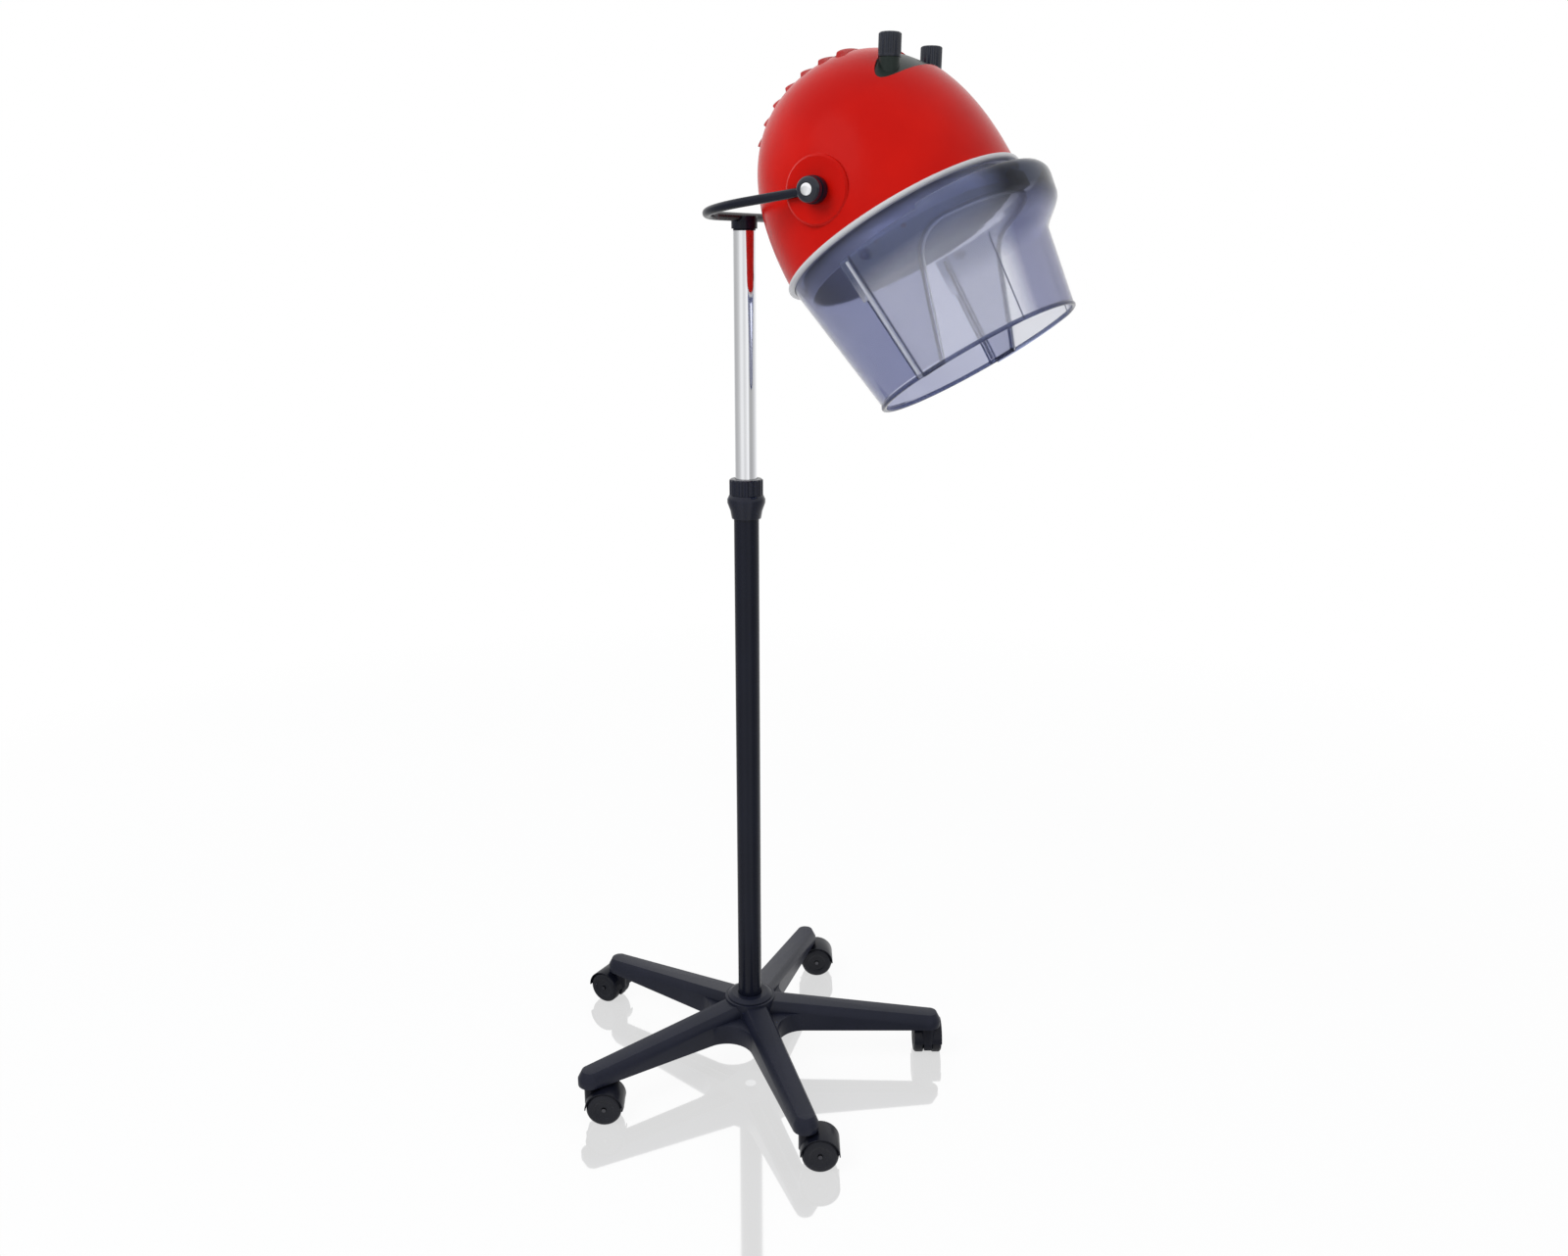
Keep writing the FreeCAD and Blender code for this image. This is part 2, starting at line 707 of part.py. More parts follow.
def dome_solid(radius, height, fullness):
    """Solid dome standing on the plane of its rim, its seam clear of bosses and windows."""
    curve = dome_profile(radius, height, fullness)
    axis = Part.makeLine(Vector(0, 0, height), Vector())
    floor = Part.makeLine(Vector(), Vector(radius, 0, 0))
    dome = Part.Face(Part.Wire([curve, axis, floor])).revolve(Vector(), Z_AXIS, 360)
    return dome.rotated(Vector(), Z_AXIS, DOME_SEAM)


def shell_dome(offset):
    """Solid inside a surface that lies offset outside the shell's skin."""
    return dome_solid(size("shell_diameter") / 2 + offset, size("shell_height") + offset,
                      size("shell_fullness"))


def shell_radius(height, offset=0.0):
    return dome_radius(height, size("shell_diameter") / 2 + offset, size("shell_height") + offset,
                       size("shell_fullness"))


def shell_layer(inner_offset, outer_offset):
    """Closed layer between two offsets of the shell's skin."""
    return shell_dome(outer_offset).cut(shell_dome(inner_offset))


def louvre_places():
    """Distance behind the axis, height and slope of each louvre, by equal steps over the crown."""
    radius = size("shell_diameter") / 2
    height = size("shell_height")
    fullness = size("shell_fullness")
    steps = 720
    walk = [dome_point(radius, height, fullness, 90.0 * i / steps) for i in range(steps + 1)]
    walk += [Vector(-point.x, 0, point.z) for point in reversed(walk[:-1])]
    first = next(i for i, point in enumerate(walk) if point.z >= size("louvre_first_height"))
    places = []
    travelled = 0.0
    for i in range(first, len(walk) - 1):
        if travelled >= len(places) * size("louvre_pitch") and len(places) < size("louvre_count"):
            step = walk[i + 1] - walk[i]
            places.append((walk[i], math.degrees(math.atan2(step.z, -step.x))))
        travelled += (walk[i + 1] - walk[i]).Length
    return places


def across_slab(point, slope, along, half_length, depth_out, depth_in):
    """Block across the hood at a profile point, lying along the local slope."""
    slab = box_between(Vector(-half_length, -along / 2, -depth_in),
                       Vector(half_length, along / 2, depth_out))
    slab.rotate(Vector(), X_AXIS, -slope)
    slab.translate(Vector(0, point.x, point.z))
    return slab


def pivot_boss(side):
    """Round pad around a pivot, with a seat for the bracket inside the shell."""
    face = boss_face()
    radius = size("boss_diameter") / 2
    edge = size("boss_edge")
    start = inner_boss_face()
    centre = Vector(side * start, hood_pivot.y, hood_pivot.z)
    outward = X_AXIS * side
    pad = cylinder(radius, centre, outward, face - edge - start)
    pad = pad.fuse(Part.makeCone(radius, radius - edge, edge, centre + outward * (face - edge - start),
                                 outward))
    pad = pad.cut(shell_dome(-size("shell_wall")))
    seat = cylinder(size("inner_boss_diameter") / 2, centre, outward, face - edge - start)
    return pad.fuse(seat)


def panel_block(growth):
    """Elliptical block through the front of the crown, larger than the panel's window by a growth."""
    outline = Part.Ellipse(Vector(0, size("panel_rise"), 0), size("panel_half_width") + growth,
                           size("panel_half_height") + growth)
    block = Part.Face(Part.Wire(outline.toShape())).extrude(Z_AXIS * size("shell_diameter"))
    block.rotate(Vector(), X_AXIS, size("panel_lean"))
    return block


def make_outer_shell():
    shell = shell_layer(-size("shell_wall"), 0)
    shell = shell.fuse([pivot_boss(-1), pivot_boss(1)])
    cutters = []
    for side in (-1, 1):
        cutters.append(cylinder(size("pivot_bolt_diameter") / 2,
                                Vector(side * boss_face() / 2, hood_pivot.y, hood_pivot.z),
                                X_AXIS * side, boss_face()))
    slot_half = size("louvre_length") / 2 - size("louvre_depth")
    for point, slope in louvre_places():
        cutters.append(across_slab(point, slope, size("louvre_slot"), slot_half, 2 * OVERCUT,
                                   4 * OVERCUT))
    cutters.append(panel_block(0))
    gland_bore = cylinder(size("gland_diameter") / 2, Vector(0, 0, size("gland_height")), Y_AXIS,
                          size("shell_diameter"))
    cutters.append(gland_bore.rotated(Vector(), Z_AXIS, -size("gland_azimuth")))
    return shell.cut(cutters)


keep_shape("outer_shell", make_outer_shell(), hood_frame)


def make_louvres():
    """Curved hoods across the back and crown of the shell, one behind each slot."""
    layer = shell_layer(0, size("louvre_depth"))
    bars = []
    reach = size("louvre_slot") / 2 + size("louvre_thickness") / 2
    for point, slope in louvre_places():
        slab = across_slab(point, slope, size("louvre_thickness"), size("louvre_length") / 2,
                           2 * OVERCUT, 4 * OVERCUT)
        along = math.radians(slope)
        slab.translate(Vector(0, -math.cos(along) * reach, math.sin(along) * reach))
        bars.append(layer.common(slab))
    return Part.makeCompound([solid for bar in bars for solid in bar.Solids])


keep_shape("vent_louvres", make_louvres(), hood_frame)

# Trim ring, with the shell seated above its flange and the skirt below it

shell_base = "Sizes.shell_diameter / 2"
skirt_head = "(Sizes.shell_diameter / 2 - Sizes.skirt_head_inset)"
ring_inner = "(%s - Sizes.ring_flange_width)" % shell_base
bead_middle = "(-Sizes.ring_flange_thickness / 2)"
turned("trim_ring", [
    (ring_inner, "-Sizes.ring_flange_thickness"),
    (skirt_head + " + Sizes.sliding_clearance", "-Sizes.ring_flange_thickness"),
    (skirt_head + " + Sizes.sliding_clearance", bead_middle + " - Sizes.ring_bead_height / 2"),
    (shell_base + " + Sizes.ring_bead / 2", bead_middle + " - Sizes.ring_bead_height / 2"),
    (shell_base + " + Sizes.ring_bead * 0.85", bead_middle + " - Sizes.ring_bead_height / 3"),
    (shell_base + " + Sizes.ring_bead", bead_middle + " - Sizes.ring_bead_height / 8"),
    (shell_base + " + Sizes.ring_bead", bead_middle + " + Sizes.ring_bead_height / 8"),
    (shell_base + " + Sizes.ring_bead * 0.85", bead_middle + " + Sizes.ring_bead_height / 3"),
    (shell_base + " + Sizes.ring_bead / 2", bead_middle + " + Sizes.ring_bead_height / 2"),
    (shell_base + " + Sizes.sliding_clearance", bead_middle + " + Sizes.ring_bead_height / 2"),
    (shell_base + " + Sizes.sliding_clearance", "0"),
    (ring_inner, "0"),
], hood_frame)

# Control panel with its two switches and knobs


def knob_place(side):
    """Frame on the panel with its Z axis along a knob's spindle."""
    skin = shell_radius(size("knob_height_on_dome"), -size("shell_wall"))
    seat = hood_polar(skin, side * size("knob_azimuth"), size("knob_height_on_dome"))
    return Placement(seat, Rotation(X_AXIS, size("knob_lean")))


def make_control_panel():
    skin = -size("shell_wall") - size("sliding_clearance")
    layer = shell_layer(skin - size("panel_thickness"), skin)
    panel = layer.common(panel_block(size("panel_lap")))
    for side in (-1, 1):
        place = knob_place(side)
        pad = cylinder(size("knob_pad_diameter") / 2, Z_AXIS * -size("knob_pad_diameter"), Z_AXIS,
                       size("knob_pad_diameter") + size("knob_pad_height"))
        pad.Placement = place
        pad = pad.cut(shell_dome(skin - size("panel_thickness")))
        panel = panel.fuse(pad)
    for side in (-1, 1):
        bore = cylinder(size("spindle_diameter") / 2 + size("sliding_clearance"),
                        Z_AXIS * -size("knob_pad_diameter"), Z_AXIS, 2 * size("knob_pad_diameter"))
        bore.Placement = knob_place(side)
        panel = panel.cut(bore)
    return panel


keep_shape("control_panel", make_control_panel(), hood_frame)

switch_drop = "Sizes.switch_diameter / 2 * tan(Sizes.knob_lean)"
switch_lid = "(-%s - 2 * Sizes.panel_thickness - Sizes.panel_lap / 5)" % switch_drop
spindle_end = "(Sizes.knob_pad_height + Sizes.knob_length * 0.6)"


def make_switch(name, side):
    """Round switch behind the panel, with the spindle that the knob sits on."""
    return turned(name, [
        ("0", switch_lid + " - Sizes.switch_depth"),
        ("Sizes.switch_diameter / 2", switch_lid + " - Sizes.switch_depth"),
        ("Sizes.switch_diameter / 2", switch_lid),
        ("Sizes.spindle_diameter / 2", switch_lid),
        ("Sizes.spindle_diameter / 2", spindle_end),
        ("0", spindle_end),
    ], hood_frame.multiply(knob_place(side)))


def make_knob(name, side):
    """Ribbed knob with a blind bore for its spindle."""
    seat = "(Sizes.knob_pad_height + Sizes.turning_gap)"
    top = "(Sizes.knob_pad_height + Sizes.knob_length)"
    bore = "(Sizes.spindle_diameter / 2 + Sizes.running_clearance)"
    knob = turned(name, [
        (bore, seat),
        ("Sizes.knob_diameter / 2", seat),
        ("Sizes.knob_diameter / 2", top + " - Sizes.knob_flute_diameter / 2"),
        ("Sizes.knob_diameter / 2 - Sizes.knob_flute_diameter / 2", top),
        ("0", top),
        ("0", spindle_end + " + Sizes.turning_gap"),
        (bore, spindle_end + " + Sizes.turning_gap"),
    ], hood_frame.multiply(knob_place(side)))
    return add_flutes(knob, "knob_flutes", "Sizes.knob_diameter / 2 + Sizes.knob_flute_diameter / 6",
                      "Sizes.knob_flute_diameter / 2", seat + " + Sizes.knob_flute_diameter",
                      "Sizes.knob_length")


make_switch("timer_switch", 1)
make_switch("heat_switch", -1)
make_knob("timer_knob", 1)
make_knob("heat_knob", -1)

# Skirt


def skirt_radius(drop):
    """Outer radius of the skirt, by the drop below the ring plane."""
    top = size("ring_flange_thickness")
    share = (drop - top) / (size("skirt_drop") - top)
    head = size("shell_diameter") / 2 - size("skirt_head_inset")
    return head + (size("skirt_rim_diameter") / 2 - head) * share


def revolved_solid(points):
    """Solid turned about the hood's axis, its seam at the back."""
    corners = [Vector(radius, 0, height) for radius, height in points]
    turned_face = Part.Face(Part.makePolygon(corners + [corners[0]])).revolve(Vector(), Z_AXIS, 360)
    return turned_face.rotated(Vector(), Z_AXIS, SKIRT_SEAM)


def window_prism():
    """Block that cuts the arched face opening through the front of the skirt."""
    corner = size("window_corner_radius")
    rim = size("skirt_drop")
    lean = (size("window_slope_offset") - size("window_rim_offset")) / (rim - size("window_slope_drop"))
    below = rim + 2 * OVERCUT
    top = -size("window_top_drop")
    foot = Vector(0, -(size("window_rim_offset") - lean * 2 * OVERCUT), -below)
    corner_y = -(size("window_rim_offset") + lean * (rim - size("window_top_drop")))
    knee = Vector(0, corner_y, top)
    front = Vector(0, -size("shell_diameter"), top)
    under = Vector(0, -size("shell_diameter"), -below)
    toward_foot = (foot - knee).normalize()
    toward_front = (front - knee).normalize()
    half_turn = toward_foot.getAngle(toward_front) / 2
    run = corner / math.tan(half_turn)
    middle_way = (toward_foot + toward_front).normalize()
    centre = knee + middle_way * (corner / math.sin(half_turn))
    arc = Part.Arc(knee + toward_foot * run, centre - middle_way * corner, knee + toward_front * run)
    edges = [
        Part.makeLine(foot, knee + toward_foot * run),
        arc.toShape(),
        Part.makeLine(knee + toward_front * run, front),
        Part.makeLine(front, under),
        Part.makeLine(under, foot),
    ]
    face = Part.Face(Part.Wire(edges))
    face.translate(X_AXIS * -size("shell_diameter"))
    return face.extrude(X_AXIS * 2 * size("shell_diameter"))


def pin_bore(radius):
    """Bore across the whole hood on the visor's pivot line."""
    half = size("shell_diameter")
    return cylinder(radius, Vector(-half, 0, -size("visor_pin_drop")), X_AXIS, 2 * half)


def make_skirt():
    top = size("ring_flange_thickness")
    rim = size("skirt_drop")
    wall = size("skirt_wall")
    bead = size("rim_bead")
    tall = size("rim_bead_height")
    cup = revolved_solid([
        (skirt_radius(top) - wall, -top),
        (skirt_radius(top), -top),
        (skirt_radius(rim - tall - bead), -(rim - tall - bead)),
        (skirt_radius(rim - tall) + bead, -(rim - tall)),
        (skirt_radius(rim) + bead, -rim),
        (skirt_radius(rim) - wall, -rim),
    ])
    return cup.cut([window_prism(), pin_bore(size("visor_pin_diameter") / 2)])


keep_shape("skirt", make_skirt(), hood_frame)

# Visor over the face opening


def ease(share):
    """Smooth step from 0 to 1."""
    share = min(max(share, 0.0), 1.0)
    return share * share * (3 - 2 * share)


def visor_radius(azimuth, drop, skin):
    """Radius of the visor at a skin depth below its outer face."""
    angle = abs(azimuth)
    end = size("visor_end_angle")
    crease = size("visor_crease_angle")
    stand = size("visor_front_stand") * math.cos(math.radians(angle * 90 / end))
    if angle <= crease:
        facet = (angle / crease) ** 2
    else:
        middle = (crease + end) / 2
        facet = ((angle - middle) / (end - middle)) ** 2
    facet *= size("visor_crease_rise") * math.cos(math.radians(min(angle * 90 / end, 90)))
    brow_down = (size("brow_end_drop") - drop) / (size("brow_end_drop") - size("brow_full_drop"))
    brow_round = (size("brow_end_angle") - angle) / (size("brow_end_angle") - size("brow_full_angle"))
    curl_up = (size("brow_curl_drop") - drop) / (size("brow_curl_drop") - size("visor_top_drop"))
    brow = (size("brow_depth") * ease(brow_down) - size("brow_curl") * max(curl_up, 0) ** 2) * ease(brow_round)
    outer = skirt_radius(drop) + size("visor_side_gap") + size("visor_wall") + stand + facet + brow
    return outer - skin


def visor_curve(first, last, drop, skin, count):
    points = []
    for i in range(count):
        azimuth = first + (last - first) * i / (count - 1)
        points.append(hood_polar(visor_radius(azimuth, drop, skin), azimuth, -drop))
    curve = Part.BSplineCurve()
    curve.interpolate(points)
    return curve.toShape()


def visor_section(drop):
    """Closed outline of the visor's wall at one level."""
    end = size("visor_end_angle")
    crease = size("visor_crease_angle")
    wall = size("visor_wall")
    outer = [visor_curve(-end, -crease, drop, 0, 7), visor_curve(-crease, crease, drop, 0, 7),
             visor_curve(crease, end, drop, 0, 7)]
    inner = [visor_curve(end, crease, drop, wall, 7), visor_curve(crease, -crease, drop, wall, 7),
             visor_curve(-crease, -end, drop, wall, 7)]
    ends = [Part.makeLine(hood_polar(visor_radius(end, drop, 0), end, -drop),
                          hood_polar(visor_radius(end, drop, wall), end, -drop)),
            Part.makeLine(hood_polar(visor_radius(-end, drop, wall), -end, -drop),
                          hood_polar(visor_radius(-end, drop, 0), -end, -drop))]
    return Part.Wire(outer + [ends[0]] + inner + [ends[1]])


def make_visor():
    top = size("visor_top_drop")
    full = size("brow_full_drop")
    fade = size("brow_end_drop")
    rim = size("skirt_drop")
    levels = [top, (top + full) / 2, full, full + (fade - full) / 3, full + (fade - full) * 2 / 3, fade,
              fade + (rim - fade) / 3, fade + (rim - fade) * 2 / 3, rim]
    visor = Part.makeLoft([visor_section(drop) for drop in levels], True, False)
    side_top = size("visor_side_top_drop")
    start = visor_radius(size("visor_side_top_start"), side_top, 0)
    front = -start * math.cos(math.radians(size("visor_side_top_start")))
    back = size("shell_diameter") / 2
    step = side_top - top + OVERCUT
    side_cut = prism([
        Vector(-size("shell_diameter"), front, -side_top),
        Vector(-size("shell_diameter"), back, -side_top),
        Vector(-size("shell_diameter"), back, -top + OVERCUT),
        Vector(-size("shell_diameter"), front - step, -top + OVERCUT),
    ], X_AXIS * 2 * size("shell_diameter"))
    pin = pin_bore(size("visor_pin_diameter") / 2 + size("running_clearance"))
    return visor.cut([side_cut, pin])


keep_shape("visor", make_visor(), hood_frame)


def make_visor_pins():
    """Shouldered pin at each side, through the skirt and the visor."""
    drop = size("visor_pin_drop")
    head = size("visor_pin_head_diameter") / 2
    slope = skirt_radius(drop - head) - skirt_radius(drop)
    inner_face = skirt_radius(drop) - size("skirt_wall") - slope - size("turning_gap")
    outer_face = visor_radius(90, drop, 0) + slope + size("turning_gap")
    pins = []
    for side in (-1, 1):
        start = Vector(side * (inner_face - size("visor_pin_head")), 0, -drop)
        outward = X_AXIS * side
        shank = cylinder(size("visor_pin_diameter") / 2, start, outward,
                         outer_face - inner_face + 2 * size("visor_pin_head"))
        inner_head = cylinder(head, start, outward, size("visor_pin_head"))
        outer_start = Vector(side * outer_face, 0, -drop)
        outer_head = Part.makeCone(head, head * 0.7, size("visor_pin_head"), outer_start, outward)
        pins.append(shank.fuse([inner_head, outer_head]).removeSplitter())
    return Part.makeCompound([solid for pin in pins for solid in pin.Solids])


keep_shape("visor_pins", make_visor_pins(), hood_frame)


def make_visor_catch():
    """Block on the skirt's front band that the visor's brow closes over."""
    drop = size("catch_drop")
    half = size("catch_width") / 2
    low = -(drop + size("catch_height"))
    reach = skirt_radius(drop) + size("catch_depth")
    block = box_between(Vector(-half, -reach, low),
                        Vector(half, size("skirt_wall") + half - skirt_radius(drop), -drop))
    corner_edges = [edge for edge in block.Edges
                    if all(abs(vertex.Point.y + reach) < 0.01 for vertex in edge.Vertexes)]
    block = block.makeFillet(size("catch_depth") / 3, corner_edges)
    top = size("ring_flange_thickness")
    rim = size("skirt_drop")
    inside = revolved_solid([(0, -top), (skirt_radius(top), -top), (skirt_radius(rim), -rim), (0, -rim)])
    return block.cut(inside)


keep_shape("visor_catch", make_visor_catch(), hood_frame)

# Inner bowl that spreads the warm air


def bowl_dome(offset):
    return dome_solid(bowl_radius() + offset, size("bowl_height") + offset,
                      size("bowl_fullness"))


def make_inner_bowl():
    """Thin dome of even wall with rings of air holes."""
    radius = bowl_radius()
    height = size("bowl_height")
    wall = size("bowl_wall")
    outer = dome_profile(radius, height, size("bowl_fullness"))
    inner = dome_profile(radius - wall, height - wall, size("bowl_fullness"))
    crown = Part.makeLine(Vector(0, 0, height), Vector(0, 0, height - wall))
    rim = Part.makeLine(Vector(radius - wall, 0, 0), Vector(radius, 0, 0))
    dome = Part.Face(Part.Wire([outer, crown, inner, rim])).revolve(Vector(), Z_AXIS, 360)
    dome = dome.rotated(Vector(), Z_AXIS, DOME_SEAM)
    below = cylinder(radius + OVERCUT, Z_AXIS * -OVERCUT, Z_AXIS, OVERCUT + wall)
    holes = [cylinder(size("bowl_hole_diameter") / 2, Vector(), Z_AXIS, 2 * height)]
    hole_rings = ((24, 6), (44, 12), (60, 16), (75, 20))
    for lean, count in hole_rings:
        for i in range(count):
            direction = Rotation(Z_AXIS, 360.0 * i / count).multVec(
                Vector(math.sin(math.radians(lean)), 0, math.cos(math.radians(lean))))
            holes.append(cylinder(size("bowl_hole_diameter") / 2, direction * height / 2, direction,
                                  height))
    return dome.cut([below] + holes)


def make_bowl_collar():
    """Deep collar that carries the dome, with the flange that lies on the trim ring."""
    radius = bowl_radius()
    wall = size("bowl_wall")
    drop = size("bowl_lip_drop")
    flange = shell_radius(0) - size("shell_wall") - size("bowl_flange_gap")
    return revolved_solid([(radius - wall, -drop), (radius, -drop), (radius, 0), (flange, 0),
                           (flange, wall), (radius - wall, wall)])


keep_shape("bowl_collar", make_bowl_collar(), hood_frame)
keep_shape("inner_bowl", make_inner_bowl(), hood_frame)

# Bracket between the pivots, which carries the motor


def make_motor_bracket():
    sheet_thickness = size("bracket_sheet")
    side_x = inner_boss_face()
    knee = size("bracket_knee")
    top = size("bracket_top")
    half_top = size("bracket_half_top")
    width = size("bracket_width")
    outer = [(side_x, size("bracket_foot")), (side_x, knee), (half_top, top + sheet_thickness)]
    inner = [(half_top - sheet_thickness, top), (side_x - sheet_thickness, knee - sheet_thickness / 2),
             (side_x - sheet_thickness, size("bracket_foot"))]
    outline = outer + [(-across, up) for across, up in reversed(outer)]
    outline += [(-across, up) for across, up in reversed(inner)] + inner
    front = hood_pivot.y - width / 2
    strap = prism([Vector(across, front, up) for across, up in outline], Y_AXIS * width)
    bolts = [cylinder(size("pivot_bolt_diameter") / 2, Vector(side * side_x / 2, hood_pivot.y, hood_pivot.z),
                      X_AXIS * side, side_x) for side in (-1, 1)]
    shaft = cylinder(size("fan_shaft_diameter"), Vector(), Z_AXIS, size("shell_height"))
    return strap.cut(bolts + [shaft])


keep_shape("motor_bracket", make_motor_bracket(), hood_frame)

motor_seat = "(Sizes.bracket_top + Sizes.bracket_sheet)"
shaft_hole = "(Sizes.fan_shaft_diameter / 2 + Sizes.running_clearance)"
shaft_top = "(%s + Sizes.motor_height / 2)" % motor_seat
turned("fan_motor", [
    (shaft_hole, motor_seat),
    ("Sizes.motor_diameter / 2", motor_seat),
    ("Sizes.motor_diameter / 2", motor_seat + " + Sizes.motor_height - Sizes.bracket_sheet"),
    ("Sizes.motor_diameter / 2 - Sizes.bracket_sheet", motor_seat + " + Sizes.motor_height"),
    ("0", motor_seat + " + Sizes.motor_height"),
    ("0", shaft_top + " + Sizes.turning_gap"),
    (shaft_hole, shaft_top + " + Sizes.turning_gap"),
], hood_frame)

turned("fan_shaft", [
    ("0", shaft_top + " - Sizes.fan_shaft_length"),
    ("Sizes.fan_shaft_diameter / 2", shaft_top + " - Sizes.fan_shaft_length"),
    ("Sizes.fan_shaft_diameter / 2", shaft_top),
    ("0", shaft_top),
], hood_frame)

impeller_top = "(Sizes.bracket_top - Sizes.impeller_gap)"
impeller_disc_low = "(%s - Sizes.impeller_disc)" % impeller_top
impeller = turned("fan_impeller", [
    ("Sizes.fan_shaft_diameter / 2", impeller_top + " - Sizes.impeller_height"),
    ("Sizes.impeller_hub_diameter / 2", impeller_top + " - Sizes.impeller_height"),
    ("Sizes.impeller_hub_diameter / 2", impeller_disc_low),
    ("Sizes.impeller_diameter / 2", impeller_disc_low),
    ("Sizes.impeller_diameter / 2", impeller_top),
    ("Sizes.fan_shaft_diameter / 2", impeller_top),
], hood_frame)
blade_sketch = new_sketch(impeller, "blade_outline", "XY_Plane", impeller_disc_low)
draw_outline(blade_sketch, [
    ("Sizes.impeller_diameter / 2 - Sizes.impeller_blade_length", "0"),
    ("Sizes.impeller_diameter / 2 - Sizes.impeller_disc", "Sizes.impeller_blade_length / 3"),
    ("Sizes.impeller_diameter / 2 - Sizes.impeller_disc",
     "Sizes.impeller_blade_length / 3 + Sizes.impeller_disc"),
    ("Sizes.impeller_diameter / 2 - Sizes.impeller_blade_length", "Sizes.impeller_disc"),
])
blade = impeller.newObject("PartDesign::Pad", "blade")
blade.Profile = blade_sketch
blade.Reversed = True
blade.setExpression("Length", "Sizes.impeller_height - Sizes.impeller_disc")
blades = impeller.newObject("PartDesign::PolarPattern", "blades")
blades.Originals = [blade]
blades.Axis = (blade_sketch, ["N_Axis"])
blades.Angle = 360
blades.Occurrences = int(size("impeller_blades"))
impeller.Tip = blades

# Heater


def make_heater_ring():
    """Mica former with three posts that stand on the bowl."""
    low = size("heater_bottom")
    inner = size("heater_inner_diameter") / 2
    outer = size("heater_outer_diameter") / 2
    former = revolved_solid([(inner, low), (outer, low), (outer, low + size("heater_frame_height")),
                             (inner, low + size("heater_frame_height"))])
    middle = (inner + outer) / 2
    posts = [cylinder(size("heater_leg_diameter") / 2, polar(middle, 30 + 120 * i), Z_AXIS, low)
             for i in range(3)]
    return former.fuse([post.cut(bowl_dome(0)) for post in posts])


keep_shape("heater_ring", make_heater_ring(), hood_frame)

heater_coil = doc.addObject("Part::Torus", "heater_coil")
heater_coil.setExpression("Radius1", "Sizes.coil_ring_diameter / 2")
heater_coil.setExpression("Radius2", "Sizes.coil_wire_diameter / 2")
coil_height = size("heater_bottom") + size("heater_frame_height") + size("coil_wire_diameter") / 2
keep(heater_coil, "heater_coil", hood_frame.multiply(Placement(Z_AXIS * coil_height, Rotation())))


def make_thermostat():
    """Disc thermostat screwed to the outside of the bowl."""
    height = size("thermostat_height_on_bowl")
    radius = dome_radius(height, bowl_radius(), size("bowl_height"), size("bowl_fullness"))
    reach = size("thermostat_diameter")
    direction = Vector(0, -1, 0.5).normalize()
    start = Vector(0, -radius, height) - direction * reach
    disc = cylinder(size("thermostat_diameter") / 2, start, direction, reach + size("thermostat_height"))
    return disc.cut(bowl_dome(0))


keep_shape("thermostat", make_thermostat(), hood_frame)


def make_terminal_block():
    """Terminal block on top of the bracket, beside the motor."""
    seat = size("bracket_top") + size("bracket_sheet")
    start = size("motor_diameter") / 2 + size("terminal_height")
    return box_between(
        Vector(start, hood_pivot.y - size("terminal_depth") / 2, seat),
        Vector(start + size("terminal_width"), hood_pivot.y + size("terminal_depth") / 2,
               seat + size("terminal_height")))


keep_shape("terminal_block", make_terminal_block(), hood_frame)

gland_seat = shell_radius(size("gland_height"))
gland_place = Placement(Vector(), Rotation(Z_AXIS, -size("gland_azimuth"))).multiply(
    Placement(Vector(0, gland_seat, size("gland_height")), Rotation(X_AXIS, -90)))
turned("cable_gland", [
    ("Sizes.gland_bore / 2", "-2 * Sizes.shell_wall"),
    ("Sizes.gland_diameter / 2", "-2 * Sizes.shell_wall"),
    ("Sizes.gland_diameter / 2", "Sizes.turning_gap"),
    ("Sizes.gland_flange_diameter / 2", "Sizes.turning_gap"),
    ("Sizes.gland_flange_diameter / 2", "Sizes.turning_gap + Sizes.gland_flange"),
    ("Sizes.gland_diameter / 2", "Sizes.turning_gap + Sizes.gland_flange"),
    ("Sizes.gland_nose_diameter / 2", "Sizes.turning_gap + Sizes.gland_flange + Sizes.gland_nose"),
    ("Sizes.gland_bore / 2", "Sizes.turning_gap + Sizes.gland_flange + Sizes.gland_nose"),
], hood_frame.multiply(gland_place))


# Pivot hardware


def pivot_places():
    """Frames at the two pivots with Z outwards along the tilt axis."""
    return {side: Placement(Vector(0, 0, 0) + hood_pivot, Rotation(Y_AXIS, 90 * side))
            for side in (-1, 1)}


def make_pivot_bolts():
    """Bolts on the tilt axis, headed inside the bracket."""
    inside = inner_boss_face() - size("bracket_sheet")
    outside = yoke_arm_x() + size("yoke_eye_thickness") / 2 + size("tilt_knob_length") * 2 / 3
    bolts = []
    for place in pivot_places().values():
        shank = cylinder(size("pivot_bolt_diameter") / 2, Z_AXIS * inside, Z_AXIS, outside - inside)
        head = cylinder(size("pivot_bolt_diameter"), Z_AXIS * inside, -Z_AXIS,
                        size("pivot_bolt_diameter") / 2)
        bolt = shank.fuse(head)
        bolt.Placement = place
        bolts.append(bolt)
    return Part.makeCompound([solid for bolt in bolts for solid in bolt.Solids])


keep_shape("pivot_bolts", make_pivot_bolts(), hood_frame)


